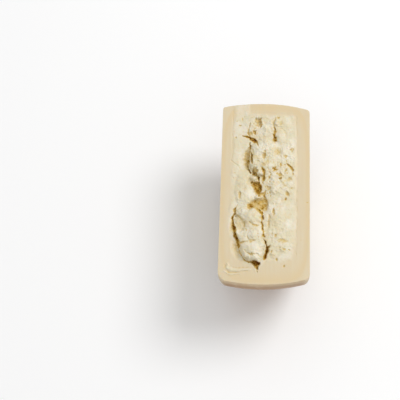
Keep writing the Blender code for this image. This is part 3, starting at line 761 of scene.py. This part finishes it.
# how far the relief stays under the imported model's highest point, how high it may therefore rise over the
# break, and how far below that the highest peaks begin to be eased
CEILING_GAP = 0.1
CEILING = (node_high.z - BREAK_LEVEL) / MM - CEILING_GAP
CEILING_KNEE = 2
# how soon a calm place is as calm as it gets, going inwards from its edge
CALM_STEEPNESS = 2
# name, middle u and v, half width, half length, how much of the crumb is missing there
CALM_PLACES = (
    ("right field", 31, 34, 32, 60, 0.22),
    ("lower right field", 34, -66, 32, 56, 0.35),
    ("great lump", -28, -95, 42, 66, 0.35),
    ("apron", -44, 4, 20, 40, 0.4),
    ("pale lump", 30, 124, 12, 20, 0.5),
    ("plateau", -56, 120, 14, 90, 0.3),
)


def under_ceiling(height):
    """Eases the highest peaks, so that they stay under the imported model's highest point."""
    knee = CEILING - CEILING_KNEE
    over_knee = np.maximum(height - knee, 0) / CEILING_KNEE
    return np.minimum(height, knee) + CEILING_KNEE * np.tanh(over_knee)


def calm(u, v):
    """How much smoother the break is than where it is crumbliest, from 0 to 1."""
    most = np.zeros_like(u)
    for _, middle_u, middle_v, half_u, half_v, share in CALM_PLACES:
        inward = 1 - oval_share(u, v, middle_u, middle_v, half_u, half_v)
        most = np.maximum(most, share * ease(CALM_STEEPNESS * inward))
    return most


def relief(u, v):
    """The break's height over the band, its painted shade and golden tint, and how far the knife raised a
    lip there.
    """
    torn = torn_share(u, v)
    bent_u, bent_v = u, v
    for reach, size, seed in WARPS:
        bent_u = bent_u + reach * rolling(u, v, size, seed)
        bent_v = bent_v + reach * rolling(u, v, size, seed + 1)
    height = mass_height(bent_u, bent_v)
    loss, shade_and_stain_map = losses(bent_u, bent_v)
    by_height = LEAST_CRUMB + (1 - LEAST_CRUMB) * ease(height / FULL_CRUMB_AT)
    roughness = np.minimum(by_height * (1 - calm(u, v)) + SHADE_STAINED_CRUMB * shade_and_stain_map, 1)
    crumb, crease = 0.0, 0.0
    for size, rise, seed in CURD_LAYERS:
        curd = np.abs(rolling(bent_u, bent_v, size, seed))
        crumb = crumb + rise * (curd - CURD_LEVEL)
        crease = crease + np.maximum(0, 1 - curd / CURD_GROOVE) * rise
    for size, rise, gap_depth, seed in FLAKE_LAYERS:
        tilt, gap = flakes(bent_u, bent_v, size, CREASE_SHARE, seed)
        crumb = crumb + rise * tilt - gap_depth * gap
    shown = ease(0.5 + layered(u, v, *CREASE_FIELDS))
    crease = torn * roughness * np.minimum(crease / CREASE_FULL, 1) * shown
    # painted shade: low places of the crumb and the grooves between curds are painted darker
    shade_and_stain_map = shade_and_stain_map * np.clip(1 - SHADE_STAIN_BREAKUP * crumb, *SHADE_STAIN_RANGE)
    shade_and_stain_map = np.maximum(shade_and_stain_map, CREASE_SHADE * crease)
    lips = sum(rise * crack_share(bent_u, bent_v, points) for _, rise, points in RIDGES)
    return under_ceiling(torn * (height + roughness * crumb) + lips - loss), shade_and_stain_map, lips


print(f"the relief may rise {CEILING:.1f} mm over the break")

# %% [markdown]
# ## Settling the grid
#
# An even grid laid over a steep wall has only a point or two on it, and the wall comes out jagged. So the
# grid is first slid about on the plane: each point is drawn towards the neighbours that are far from it once
# the relief is raised, which crowds the points where the relief is steep.

# %% Settle a grid on the relief
# how far a place is shifted for each millimetre that it rises
LEAN_U, LEAN_V = -0.12, -0.43
# spacing of the map's lines and how far it runs past the wheel, in millimetres
MAP_STEP = 0.7
MAP_MARGIN = 8
# share of the way to its neighbours' pull that a point goes in one round
SETTLE_PACE = 0.6
# a little more than 1, so that a place on a map's last line is still read from its last cell
LAST_CELL = 1.001


def sampler(values, lines_u, lines_v):
    """A function that reads a map of the break between its lines."""
    def read(u, v):
        column = np.clip(np.interp(u, lines_u, np.arange(len(lines_u))), 0, len(lines_u) - LAST_CELL)
        row = np.clip(np.interp(v, lines_v, np.arange(len(lines_v))), 0, len(lines_v) - LAST_CELL)
        left, near = column.astype(int), row.astype(int)
        part_u, part_v = column - left, row - near
        low_row = values[near, left] * (1 - part_u) + values[near, left + 1] * part_u
        high_row = values[near + 1, left] * (1 - part_u) + values[near + 1, left + 1] * part_u
        return low_row * (1 - part_v) + high_row * part_v
    return read


reach_u, reach_v = THICKNESS / MM / 2 + MAP_MARGIN, RADIUS / MM + MAP_MARGIN
map_u = np.arange(-reach_u, reach_u + MAP_STEP, MAP_STEP)
map_v = np.arange(-reach_v, reach_v + MAP_STEP, MAP_STEP)
read_height, read_shade_and_stain, read_lips = (
    sampler(values, map_u, map_v) for values in relief(*np.meshgrid(map_u, map_v))
)


def raised(u, v):
    """Where the places of a flat grid go when the relief is raised."""
    height = read_height(u, v)
    return np.stack([u + LEAN_U * height, v + LEAN_V * height, height], axis=-1)


def settle(u, v, rounds):
    """Slides the inner points of a grid, given as rows of places, towards where the relief is steep."""
    rest_u, rest_v = np.diff(u, axis=1), np.diff(v, axis=0)
    for _ in range(rounds):
        place = raised(u, v)
        pull_u = np.linalg.norm(np.diff(place, axis=1), axis=2) / rest_u
        pull_v = np.linalg.norm(np.diff(place, axis=0), axis=2) / rest_v
        left, right = pull_u[1:-1, :-1] / rest_u[1:-1, :-1], pull_u[1:-1, 1:] / rest_u[1:-1, 1:]
        near, far = pull_v[:-1, 1:-1] / rest_v[:-1, 1:-1], pull_v[1:, 1:-1] / rest_v[1:, 1:-1]
        total = left + right + near + far
        for values in (u, v):
            drawn = (left * values[1:-1, :-2] + right * values[1:-1, 2:]
                     + near * values[:-2, 1:-1] + far * values[2:, 1:-1]) / total
            values[1:-1, 1:-1] += SETTLE_PACE * (drawn - values[1:-1, 1:-1])
    return u, v


print("map of the break:", len(map_u), "by", len(map_v), "places")

# %% [markdown]
# ## Cutting the break
#
# The tear is cut as one takes a bite out of a solid: a fine grid is moved to the relief, pulled up into a
# block, and subtracted. Displacing the solid's own points would stretch them on the steep walls, and the
# corner between break and rind would lose its crispness. The relief leans a little towards its near end, so
# that lumps overhang instead of standing like cake tins.

# %% Cut the break with a grid
# how far the fine grid runs past the torn field, and where it ends at the far rim, in millimetres
FIELD_MARGIN = 5
FIELD_FAR = 180
# spacing of the fine and of the coarse grid lines, and how often the grid is settled
FINE_STEP = 0.98
COARSE_STEP = 3.2
SETTLE_ROUNDS = 30
# how far the grid is pulled up into a block
CUTTER_HEIGHT = 60 * MM


def grid_lines(low, high, fine_low, fine_high):
    """Places for grid lines: close together over the torn field and wider over the band."""
    fine = np.linspace(fine_low, fine_high, round((fine_high - fine_low) / FINE_STEP) + 1)
    before = np.linspace(low, fine_low, round((fine_low - low) / COARSE_STEP) + 1)[:-1]
    after = np.linspace(fine_high, high, round((high - fine_high) / COARSE_STEP) + 1)[1:]
    return np.concatenate([before, fine, after])


field_u, field_v = zip(*FIELD)
lines_u = grid_lines(-reach_u, reach_u, min(field_u) - FIELD_MARGIN, max(field_u) + FIELD_MARGIN)
lines_v = grid_lines(-reach_v, reach_v, min(field_v) - FIELD_MARGIN, FIELD_FAR)
bpy.ops.object.select_all(action="DESELECT")
bpy.ops.mesh.primitive_grid_add(
    x_subdivisions=len(lines_u) - 1, y_subdivisions=len(lines_v) - 1, size=1
)
cutter = bpy.context.object
flat = positions(cutter)
column = np.rint((flat[:, 0] + 0.5) * (len(lines_u) - 1)).astype(int)
row = np.rint((flat[:, 1] + 0.5) * (len(lines_v) - 1)).astype(int)
settled_u, settled_v = settle(*np.meshgrid(lines_u, lines_v), SETTLE_ROUNDS)
move_points(cutter, raised(settled_u[row, column], settled_v[row, column]) * MM)
alone(cutter)
bpy.ops.object.mode_set(mode="EDIT")
bpy.ops.mesh.select_all(action="SELECT")
bpy.ops.mesh.quads_convert_to_tris()
bpy.ops.mesh.region_to_loop()
bpy.ops.mesh.extrude_region_move(TRANSFORM_OT_translate={"value": (0, 0, CUTTER_HEIGHT)})
bpy.ops.transform.resize(value=(1, 1, 0))
bpy.ops.mesh.edge_face_add()
bpy.ops.mesh.select_all(action="SELECT")
bpy.ops.mesh.normals_make_consistent(inside=False)
bpy.ops.transform.translate(value=(0, 0, BREAK_LEVEL))
bpy.ops.object.mode_set(mode="OBJECT")
print("cutter:", len(cutter.data.polygons), "faces")

apply_modifier(cheese, "BOOLEAN", operation="DIFFERENCE", solver="EXACT", object=cutter)
bpy.data.objects.remove(cutter)
print("split:", len(cheese.data.polygons), "faces")

# %% [markdown]
# ## What the finishes need to know
#
# Five numbers are kept for each point of the mesh, for the materials to read: how far the paste was torn
# there, how much painted shade it gets in a hollow or a crack, how dry it is near the rind, with the very
# edge left pale as a painted highlight, whether the rind lies on a flat face, and how near the rind is to
# the cut, which paints the rind lighter there and darker lower down, as painted light and shade. Painting
# them by hand would do as well, but the relief already knows them.

# %% Write the attributes
# how near the relief a point has to be to lie on the break, in millimetres
ON_BREAK = 0.1
# width of the border between the two colours of paste, in millimetres
COLOUR_EDGE = 13
# where the tongue of torn paste begins to look more like the band, and how much
TONGUE_FROM = 166
TONGUE_FADE = 0.4
# how square the line is that bounds the dry paste, and where it lies and how wide the change is, as shares
# of the way to the rind
DRY_SQUARENESS = 5
DRY_FROM = 0.84
DRY_WIDTH = 0.14
# the very edge is painted pale again, a painted highlight where light catches it and shines through it
EDGE_FROM = 0.96
EDGE_HIGHLIGHT = 0.9
# how far the flat faces' colour runs onto the rim, and how far below the break the rind is painted paler,
# painted light that gives way to painted shade lower down the rim, in millimetres
FLAT_REACH = 20
PAINTED_LIGHT_REACH = 28


def write_attribute(obj, name, values):
    """Keeps one number for each point of a mesh, under a name that a material can read."""
    attribute = obj.data.attributes.new(name, "FLOAT", "POINT")
    attribute.data.foreach_set("value", np.asarray(values, np.float32))


def dry_with_lit_edge_share(u, v):
    """1 near the rind and 0 further in, and less at the very edge, which is left pale as a painted
    highlight. Corners are drying from two sides, so they reach further.
    """
    across, along = np.abs(u) / (THICKNESS / MM / 2), np.abs(v) / (RADIUS / MM)
    reach = (across**DRY_SQUARENESS + along**DRY_SQUARENESS) ** (1 / DRY_SQUARENESS)
    # the very edge is left pale, a painted highlight
    pale = EDGE_HIGHLIGHT * ease((reach - EDGE_FROM) / (1 - EDGE_FROM))
    return ease((reach - DRY_FROM) / DRY_WIDTH) * (1 - pale)


places = positions(cheese) / MM
over = places[:, 2] - BREAK_LEVEL / MM
base_u, base_v = places[:, 0] - LEAN_U * over, places[:, 1] - LEAN_V * over
inside = np.abs(over - read_height(base_u, base_v)) < ON_BREAK
tongue = 1 - TONGUE_FADE * ease((base_v - TONGUE_FROM) / COLOUR_EDGE)
lip = np.minimum(read_lips(base_u, base_v), 1)
bared = np.maximum(torn_share(base_u, base_v, COLOUR_EDGE) * tongue, lip)
write_attribute(cheese, "torn", bared * inside)
# painted shade in the hollows and cracks, with a little of the paste's own tint
write_attribute(cheese, "shade_and_stain", read_shade_and_stain(base_u, base_v) * inside)
# dry paste next to the rind, its very edge left pale as a painted highlight
write_attribute(cheese, "dry_with_lit_edge", dry_with_lit_edge_share(base_u, base_v) * inside)
write_attribute(cheese, "flat", ease(1 - (THICKNESS / MM / 2 - np.abs(places[:, 0])) / FLAT_REACH))
# painted light on the rind near the cut, fading to painted shade lower down the rim
write_attribute(cheese, "painted_light_near_cut", ease(1 + over / PAINTED_LIGHT_REACH))
print("points on the break:", int(inside.sum()))

# %% [markdown]
# ## The arris
#
# The corner where the break meets the rind is crisp but never sharp: it has been rubbed by hands and cloths.
# A bevel would need one clean edge to follow, which a cut body doesn't have. So the points there are put in
# a vertex group, and a smooth modifier rounds them only.

# %% Soften the arris
# how many rings of points it takes in, how often they are smoothed, and how far each time
ARRIS_RINGS = 2
ARRIS_ROUNDS = 5
ARRIS_PULL = 0.5

edges = np.empty(2 * len(cheese.data.edges), int)
cheese.data.edges.foreach_get("vertices", edges)
edges = edges.reshape(-1, 2)
crossing = edges[inside[edges[:, 0]] != inside[edges[:, 1]]]
arris = np.zeros(len(inside), bool)
arris[crossing.ravel()] = True
for _ in range(ARRIS_RINGS - 1):
    touched = edges[arris[edges[:, 0]] | arris[edges[:, 1]]]
    arris[touched.ravel()] = True
group = cheese.vertex_groups.new(name="arris")
group.add(np.flatnonzero(arris).tolist(), 1, "REPLACE")
apply_modifier(cheese, "SMOOTH", factor=ARRIS_PULL, iterations=ARRIS_ROUNDS, vertex_group="arris")
print("points on the arris:", int(arris.sum()))

# %% [markdown]
# ## Helpers for the finishes
#
# Both finishes are procedural, with no picture behind them. Their nodes could be placed one by one in the
# shader editor. Here a few helpers keep the cells short: most add one kind of node and return the socket
# that the next node needs.

# %% Helpers for materials
def new_material(name):
    """A material with its node tree and its shader, whose settings are the default ones."""
    material = bpy.data.materials.new(name)
    material.use_nodes = True
    return material, material.node_tree, material.node_tree.nodes["Principled BSDF"]


def connect(tree, socket, value):
    """Links another node's output to a socket, or gives the socket a plain value."""
    if isinstance(value, bpy.types.NodeSocket):
        tree.links.new(value, socket)
    else:
        socket.default_value = value


def connect_all(tree, node, inputs):
    """Connects a node's inputs, given by their names, and returns the node."""
    for name, value in inputs.items():
        connect(tree, node.inputs[name], value)
    return node


def add(tree, kind, **inputs):
    """Adds a node of this kind and connects its inputs."""
    return connect_all(tree, tree.nodes.new(kind), inputs)


def mix(tree, share, first, second):
    """The first colour, or this share of the second one instead."""
    node = tree.nodes.new("ShaderNodeMix")
    node.data_type = "RGBA"
    for socket, value in ((node.inputs[0], share), (node.inputs[6], first), (node.inputs[7], second)):
        connect(tree, socket, value)
    return node.outputs[2]


def maths(tree, operation, first, second):
    """Two numbers made into one."""
    node = tree.nodes.new("ShaderNodeMath")
    node.operation = operation
    connect(tree, node.inputs[0], first)
    connect(tree, node.inputs[1], second)
    return node.outputs[0]


def ramp(tree, value, low, high, least=0, most=1):
    """The least below one value and the most above another, with a soft step between."""
    node = tree.nodes.new("ShaderNodeMapRange")
    node.interpolation_type = "SMOOTHSTEP"
    inputs = {"Value": value, "From Min": low, "From Max": high, "To Min": least, "To Max": most}
    return connect_all(tree, node, inputs).outputs["Result"]


def attribute(tree, name):
    """The number that write_attribute kept under this name."""
    node = tree.nodes.new("ShaderNodeAttribute")
    node.attribute_name = name
    return node.outputs["Fac"]


def rgb(red, green, blue):
    """A screen colour, from 0 to 255, turned by the standard curve into the linear one that shaders use."""
    screen = np.array([red, green, blue]) / 255
    linear = np.where(screen <= 0.04045, screen / 12.92, ((screen + 0.055) / 1.055) ** 2.4)
    return (*linear, 1)


def new_group(name, inputs, outputs):
    """An empty node group with these sockets, each stated as its name and kind."""
    group = bpy.data.node_groups.new(name, "ShaderNodeTree")
    for socket, kind in inputs:
        group.interface.new_socket(socket, in_out="INPUT", socket_type=kind)
    for socket, kind in outputs:
        group.interface.new_socket(socket, in_out="OUTPUT", socket_type=kind)
    return group, group.nodes.new("NodeGroupInput"), group.nodes.new("NodeGroupOutput")


def place_group(tree, group, **inputs):
    """Adds a node group to a material and connects its inputs."""
    node = tree.nodes.new("ShaderNodeGroup")
    node.node_tree = group
    return connect_all(tree, node, inputs)


print(f"a middle grey on the screen, 128 of 255, is {rgb(128, 128, 128)[0]:.3f} to a shader")

# %% [markdown]
# ## Grain and patches
#
# The paste and the rind are both a little grainy and unevenly coloured, at sizes of their own. The two
# effects are therefore made once, as node groups, and placed in each finish with its own numbers. Light
# sinks into both and comes out a little redder, so a function sets that up for the two of them.

# %% Grain, for both finishes
# layers of finer noise in the grain, and how strong each is for the one before
GRAIN_DETAIL = 5.0
GRAIN_ROUGHNESS = 0.65
# scale of the pores for that of the grain, how much they differ in size, and from where to where, as a
# share of the way between two pores, their walls run down
PORE_SCALE = 0.6
PORE_VARIETY = 0.28
PORE_WALL = (0.34, 0.14)
# scale of the noise that strews the pores in clusters, and its values where a cluster begins and is full
CLUSTER_SCALE = 0.12
CLUSTER_EDGE = (0.48, 0.6)

grain, start, end = new_group(
    "grain",
    (("Place", "NodeSocketVector"), ("Scale", "NodeSocketFloat")),
    (("Mask", "NodeSocketFloat"), ("Pits", "NodeSocketFloat"), ("Height", "NodeSocketFloat")),
)
fine = add(grain, "ShaderNodeTexNoise", Vector=start.outputs["Place"], Scale=start.outputs["Scale"],
           Detail=GRAIN_DETAIL, Roughness=GRAIN_ROUGHNESS)
pore_scale = maths(grain, "MULTIPLY", start.outputs["Scale"], PORE_SCALE)
pores = add(grain, "ShaderNodeTexVoronoi", Vector=start.outputs["Place"], Scale=pore_scale)
few = add(grain, "ShaderNodeTexNoise", Vector=start.outputs["Place"],
          Scale=maths(grain, "MULTIPLY", start.outputs["Scale"], CLUSTER_SCALE))
smaller = maths(grain, "MULTIPLY", pores.outputs["Color"], PORE_VARIETY)
from_pore = maths(grain, "ADD", pores.outputs["Distance"], smaller)
clustered = ramp(grain, few.outputs["Fac"], *CLUSTER_EDGE)
pit = maths(grain, "MULTIPLY", ramp(grain, from_pore, *PORE_WALL), clustered)
connect(grain, end.inputs["Mask"], fine.outputs["Fac"])
connect(grain, end.inputs["Pits"], pit)
connect(grain, end.inputs["Height"], maths(grain, "SUBTRACT", fine.outputs["Fac"], pit))
print("grain:", len(grain.nodes), "nodes")

# %% Patches, for both finishes
# the same for the patches' noise
PATCH_DETAIL = 4.0
PATCH_ROUGHNESS = 0.6

patches, start, end = new_group(
    "patches",
    (("Place", "NodeSocketVector"), ("Scale", "NodeSocketFloat"), ("Low", "NodeSocketFloat"),
     ("High", "NodeSocketFloat")),
    (("Mask", "NodeSocketFloat"),),
)
cloud = add(patches, "ShaderNodeTexNoise", Vector=start.outputs["Place"], Scale=start.outputs["Scale"],
            Detail=PATCH_DETAIL, Roughness=PATCH_ROUGHNESS)
mask = ramp(patches, cloud.outputs["Fac"], start.outputs["Low"], start.outputs["High"])
connect(patches, end.inputs["Mask"], mask)


def patch_mask(tree, place, scale, low, high):
    """Where patches lie, from 0 to 1, made by noise that runs from low to high at their edges."""
    return place_group(tree, patches, Place=place, Scale=scale, Low=low, High=high).outputs["Mask"]


print("patches:", len(patches.nodes), "nodes")

# %% Surface, for both finishes
# height of the fine relief, how far light spreads inside before it comes out again, and the shares of
# that for red, green and blue
BUMP_HEIGHT = 0.5 * MM
GLOW_REACH = 3 * MM
GLOW_SHARES = (1.0, 0.7, 0.4)


def dress(tree, shader, colour, roughness, height, bump, glow):
    """Connects a finish's colour, roughness and fine relief, and lets some light sink in."""
    relief_node = add(tree, "ShaderNodeBump", Strength=bump, Distance=BUMP_HEIGHT, Height=height)
    connect(tree, shader.inputs["Base Color"], colour)
    connect(tree, shader.inputs["Roughness"], roughness)
    connect(tree, shader.inputs["Normal"], relief_node.outputs["Normal"])
    shader.inputs["Subsurface Weight"].default_value = glow
    shader.inputs["Subsurface Radius"].default_value = GLOW_SHARES
    shader.inputs["Subsurface Scale"].default_value = GLOW_REACH


print(f"light spreads {GLOW_REACH / MM:.0f} mm inside both finishes")

# %% [markdown]
# ## The paste
#
# The scored band is smooth and a little pink, dries to straw colour next to the rind, and keeps the faint
# lines of the knife; its very edge is left pale as a painted highlight. Torn paste is paler and blotched.
# The deeper it lies, the browner it is painted: painted shade, warmed as for light glowing through the
# paste. Two materials would meet in a hard line, so one material mixes all of this by the numbers kept on
# the points.

# %% Paste colours
BAND_PASTE = rgb(218, 201, 167)
BAND_STREAK = rgb(220, 205, 174)
DRY_PASTE = rgb(219, 198, 157)
TORN_PASTE = rgb(220, 210, 179)
PALE_PASTE = rgb(230, 223, 204)
BLUSH_PASTE = rgb(222, 190, 140)
# painted shade and stain, and the paste's colour there
SHADE_AND_STAIN_COLOURS = ((0.0, None), (0.35, rgb(211, 185, 121)), (0.65, rgb(189, 150, 44)), (1.0, rgb(140, 88, 0)))
print("the darkest stain in a shader's numbers:", [round(float(part), 3) for part in SHADE_AND_STAIN_COLOURS[-1][1][:3]])

# %% Paste
# scale of the patches, and the noise where they begin and where they are full
PALE_PATCHES = (38.0, 0.4, 0.68)
BLUSH_PATCHES = (130.0, 0.52, 0.74)
BLUSH_STRENGTH = 0.5
BLOTCHES = (210.0, 0.36, 0.62)
STREAKS = (170.0, 0.35, 0.7)
# the knife's streaks are drawn out along the break
STREAK_STRETCH = (1.0, 0.05, 1.0)
CRUMB_SCALE = 420.0
# the grain's noise from least to most, and how strong the painted shade and stain is at the least and at
# the most grain and blotch
GRAIN_RANGE = (0.2, 0.8)
GRAIN_SHADE_STAIN = (0.75, 1.25)
BLOTCH_SHADE_STAIN = (0.78, 1.15)
# on the band and on torn paste
PASTE_ROUGHNESS = (0.45, 0.62)
PASTE_GRAIN = (0.25, 1)
PASTE_BUMP = 0.35
PASTE_GLOW = 0.25

paste, tree, shader = new_material("paste")
# the painted shade and stain kept on the points, and how far the paste was torn
shade_and_stain, torn = attribute(tree, "shade_and_stain"), attribute(tree, "torn")
object_place = add(tree, "ShaderNodeTexCoord").outputs["Object"]
streak_place = add(tree, "ShaderNodeMapping", Vector=object_place, Scale=STREAK_STRETCH)
streaks = patch_mask(tree, streak_place.outputs["Vector"], *STREAKS)
band_colour = mix(tree, streaks, BAND_PASTE, BAND_STREAK)
# straw colour of dry paste near the rind, except at the very edge, which is painted pale as a highlight
band_colour = mix(tree, attribute(tree, "dry_with_lit_edge"), band_colour, DRY_PASTE)
torn_colour = mix(tree, patch_mask(tree, object_place, *PALE_PATCHES), TORN_PASTE, PALE_PASTE)
blush = maths(tree, "MULTIPLY", patch_mask(tree, object_place, *BLUSH_PATCHES), BLUSH_STRENGTH)
torn_colour = mix(tree, blush, torn_colour, BLUSH_PASTE)
colour = mix(tree, torn, band_colour, torn_colour)
crumbs = place_group(tree, grain, Place=object_place, Scale=CRUMB_SCALE)
blotches = patch_mask(tree, object_place, *BLOTCHES)
speckled = maths(tree, "MULTIPLY", shade_and_stain, ramp(tree, crumbs.outputs["Mask"], *GRAIN_RANGE, *GRAIN_SHADE_STAIN))
speckled = maths(tree, "MULTIPLY", speckled, ramp(tree, blotches, 0, 1, *BLOTCH_SHADE_STAIN))
# the paste is painted browner by the painted shade and stain, most of it standing for shade in hollows and
# cracks
for (low, _), (high, tint) in zip(SHADE_AND_STAIN_COLOURS, SHADE_AND_STAIN_COLOURS[1:]):
    colour = mix(tree, ramp(tree, speckled, low, high), colour, tint)
height = maths(tree, "MULTIPLY", crumbs.outputs["Height"], ramp(tree, torn, 0, 1, *PASTE_GRAIN))
dress(tree, shader, colour, ramp(tree, torn, 0, 1, *PASTE_ROUGHNESS), height, PASTE_BUMP, PASTE_GLOW)
print("paste:", len(tree.nodes), "nodes")

# %% [markdown]
# ## The rind
#
# The rind is dried, brushed and oiled paste, so it has a satin sheen. It is tan round the rim and paler on
# the two flat faces. Next to the cut the rim is painted paler and lower down darker: painted light and shade
# as the light falls on it, and light passing through the rind at the cut. Small pores and a faint bloom come
# from the same groups as the paste's grain, with other numbers.

# %% Rind colours
# the rim's tan is kept dark, so that lower down the rim it paints the shade there, while the rind near the
# cut is painted paler
RIM_RIND = rgb(173, 137, 98)
RIM_SHADE = rgb(156, 120, 83)
FACE_RIND = rgb(205, 190, 164)
FACE_SHADE = rgb(194, 175, 145)
RIND_PAINTED_LIGHT = rgb(222, 203, 164)
RIND_PORE = rgb(150, 118, 86)
RIND_BLOOM = rgb(220, 207, 182)
print("the rim's rind in a shader's numbers:", [round(float(part), 3) for part in RIM_RIND[:3]])

# %% Rind
SKIN_SCALE = 300.0
# scale of the patches, and the noise where they begin and where they are full
CLOUDS = (14.0, 0.34, 0.7)
BLOOM_PATCHES = (48.0, 0.5, 0.78)
# how unevenly the faces' colour ends on the rim, and the numbers where it begins and where it is full
FACE_UNEVENNESS = 0.3
FACE_EDGE = (0.1, 1.2)
# how strongly each tint is mixed in
BLOOM_STRENGTH = 0.35
PORE_STRENGTH = 0.45
PAINTED_LIGHT_STRENGTH = 0.6
RIND_ROUGHNESS = (0.36, 0.52)
RIND_SHINE = 0.25
RIND_BUMP = 0.25
RIND_GLOW = 0.15

rind, tree, shader = new_material("rind")
object_place = add(tree, "ShaderNodeTexCoord").outputs["Object"]
skin = place_group(tree, grain, Place=object_place, Scale=SKIN_SCALE)
clouds = patch_mask(tree, object_place, *CLOUDS)
rim_colour = mix(tree, clouds, RIM_RIND, RIM_SHADE)
face_colour = mix(tree, clouds, FACE_RIND, FACE_SHADE)
uneven = maths(tree, "MULTIPLY", clouds, FACE_UNEVENNESS)
flat_face = ramp(tree, maths(tree, "ADD", attribute(tree, "flat"), uneven), *FACE_EDGE)
colour = mix(tree, flat_face, rim_colour, face_colour)
tints = (
    (patch_mask(tree, object_place, *BLOOM_PATCHES), BLOOM_STRENGTH, RIND_BLOOM),
    (skin.outputs["Pits"], PORE_STRENGTH, RIND_PORE),
    # painted light: the rind near the cut painted paler, fading into painted shade lower down
    (attribute(tree, "painted_light_near_cut"), PAINTED_LIGHT_STRENGTH, RIND_PAINTED_LIGHT),
)
for mask, strength, tint in tints:
    colour = mix(tree, maths(tree, "MULTIPLY", mask, strength), colour, tint)
roughness = ramp(tree, skin.outputs["Mask"], *GRAIN_RANGE, *RIND_ROUGHNESS)
dress(tree, shader, colour, roughness, skin.outputs["Height"], RIND_BUMP, RIND_GLOW)
shader.inputs["Specular IOR Level"].default_value = RIND_SHINE
print("rind:", len(tree.nodes), "nodes")

# %% [markdown]
# ## Which face gets which finish
#
# A face belongs to the paste when all its corners lie on the break. Each could be picked by hand, but the
# points that lie there are known already. The whole body is shaded smooth, except across sharp edges, which
# are the lips of the cracks.

# %% Give each face its finish
# from this angle between two faces, in degrees, their edge is drawn sharp
SHARP_ANGLE = 50

cheese.data.materials.clear()
cheese.data.materials.append(paste)
cheese.data.materials.append(rind)
for face in cheese.data.polygons:
    face.material_index = 0 if all(inside[k] for k in face.vertices) else 1

alone(cheese)
bpy.ops.object.shade_smooth_by_angle(angle=math.radians(SHARP_ANGLE))
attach(cheese, "root")
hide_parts(NODE)
print("paste faces:", sum(face.material_index == 0 for face in cheese.data.polygons))

# %% [markdown]
# ## The floor
#
# The piece is shown on a plain pale floor that runs out of sight, as in a product picture. It is only a
# stage, not a part of the cheese.

# %% Floor
FLOOR_SIZE = 12
FLOOR_WHITE = 0.97
FLOOR_ROUGHNESS = 0.9

bpy.ops.mesh.primitive_plane_add(size=FLOOR_SIZE)
floor = bpy.context.object
floor.name = "floor"
floor_material, _, shader = new_material("floor_white")
shader.inputs["Base Color"].default_value = (FLOOR_WHITE, FLOOR_WHITE, FLOOR_WHITE, 1)
shader.inputs["Roughness"].default_value = FLOOR_ROUGHNESS
floor.data.materials.append(floor_material)
print("floor:", FLOOR_SIZE, "m wide")

# %% [markdown]
# ## The light
#
# Most of the light comes evenly from all round, and one broad lamp stands high on the right and behind. Its
# shadows are soft, fall to the left, and show the relief of the break. A small lamp would draw them with
# hard edges, and they would hide the paste in the hollows.

# %% Light
WORLD_STRENGTH = 0.68
# place and width in metres, power in watts
LAMP_PLACE = (2.9, 1.5, 4.3)
LAMP_SIZE = 3
LAMP_POWER = 136

world = bpy.data.worlds.new("studio")
world.use_nodes = True
background = world.node_tree.nodes["Background"]
background.inputs["Color"].default_value = (1, 1, 1, 1)
background.inputs["Strength"].default_value = WORLD_STRENGTH
bpy.context.scene.world = world

middle = Vector((0, 0, BREAK_LEVEL))
lamp_data = bpy.data.lights.new("key", "AREA")
lamp_data.shape = "DISK"
lamp_data.size = LAMP_SIZE
lamp_data.energy = LAMP_POWER
lamp = bpy.data.objects.new("key", lamp_data)
bpy.context.scene.collection.objects.link(lamp)
lamp.location = LAMP_PLACE
lamp.rotation_euler = (middle - Vector(LAMP_PLACE)).to_track_quat("-Z", "Y").to_euler()
print(f"lamp: {(middle - Vector(LAMP_PLACE)).length:.1f} m from the break")

# %% [markdown]
# ## The camera
#
# The camera looks down steeply from the near end, with a long lens that keeps the two long edges nearly
# parallel. The cheese stands right of the middle of the picture, so the camera is turned a little aside
# instead of shifting its lens.

# %% Camera
# angles in degrees, distance in metres
VIEW_ELEVATION = 66.6
VIEW_ROLL = 0.9
VIEW_DISTANCE = 2.2
# focal length, width of the picture and where the middle of the break is seen, all in pixels
FOCAL_PIXELS = 1082
FRAME_PIXELS = 400
TARGET_PIXEL = (265, 191.1)
# width of a full-frame sensor, in millimetres
SENSOR_WIDTH = 36

camera_data = bpy.data.cameras.new("camera")
camera = bpy.data.objects.new("camera", camera_data)
bpy.context.scene.collection.objects.link(camera)
camera_data.sensor_width = SENSOR_WIDTH
camera_data.lens = SENSOR_WIDTH * FOCAL_PIXELS / FRAME_PIXELS
tilt = math.radians(VIEW_ELEVATION)
back = Vector((0, -math.cos(tilt), math.sin(tilt)))
camera.location = middle + VIEW_DISTANCE * back
aside = math.atan((TARGET_PIXEL[0] - FRAME_PIXELS / 2) / FOCAL_PIXELS)
above = math.atan((FRAME_PIXELS / 2 - TARGET_PIXEL[1]) / FOCAL_PIXELS)
look = (-back).to_track_quat("-Z", "Y").to_matrix()
roll = Matrix.Rotation(math.radians(VIEW_ROLL), 3, "Z")
turn = Matrix.Rotation(aside, 3, "Y") @ Matrix.Rotation(-above, 3, "X")
camera.rotation_euler = (look @ roll @ turn).to_euler()
bpy.context.scene.camera = camera
bpy.context.scene.view_settings.view_transform = "Standard"
print(f"camera: a lens of {camera_data.lens:.0f} mm, {VIEW_DISTANCE} m away")
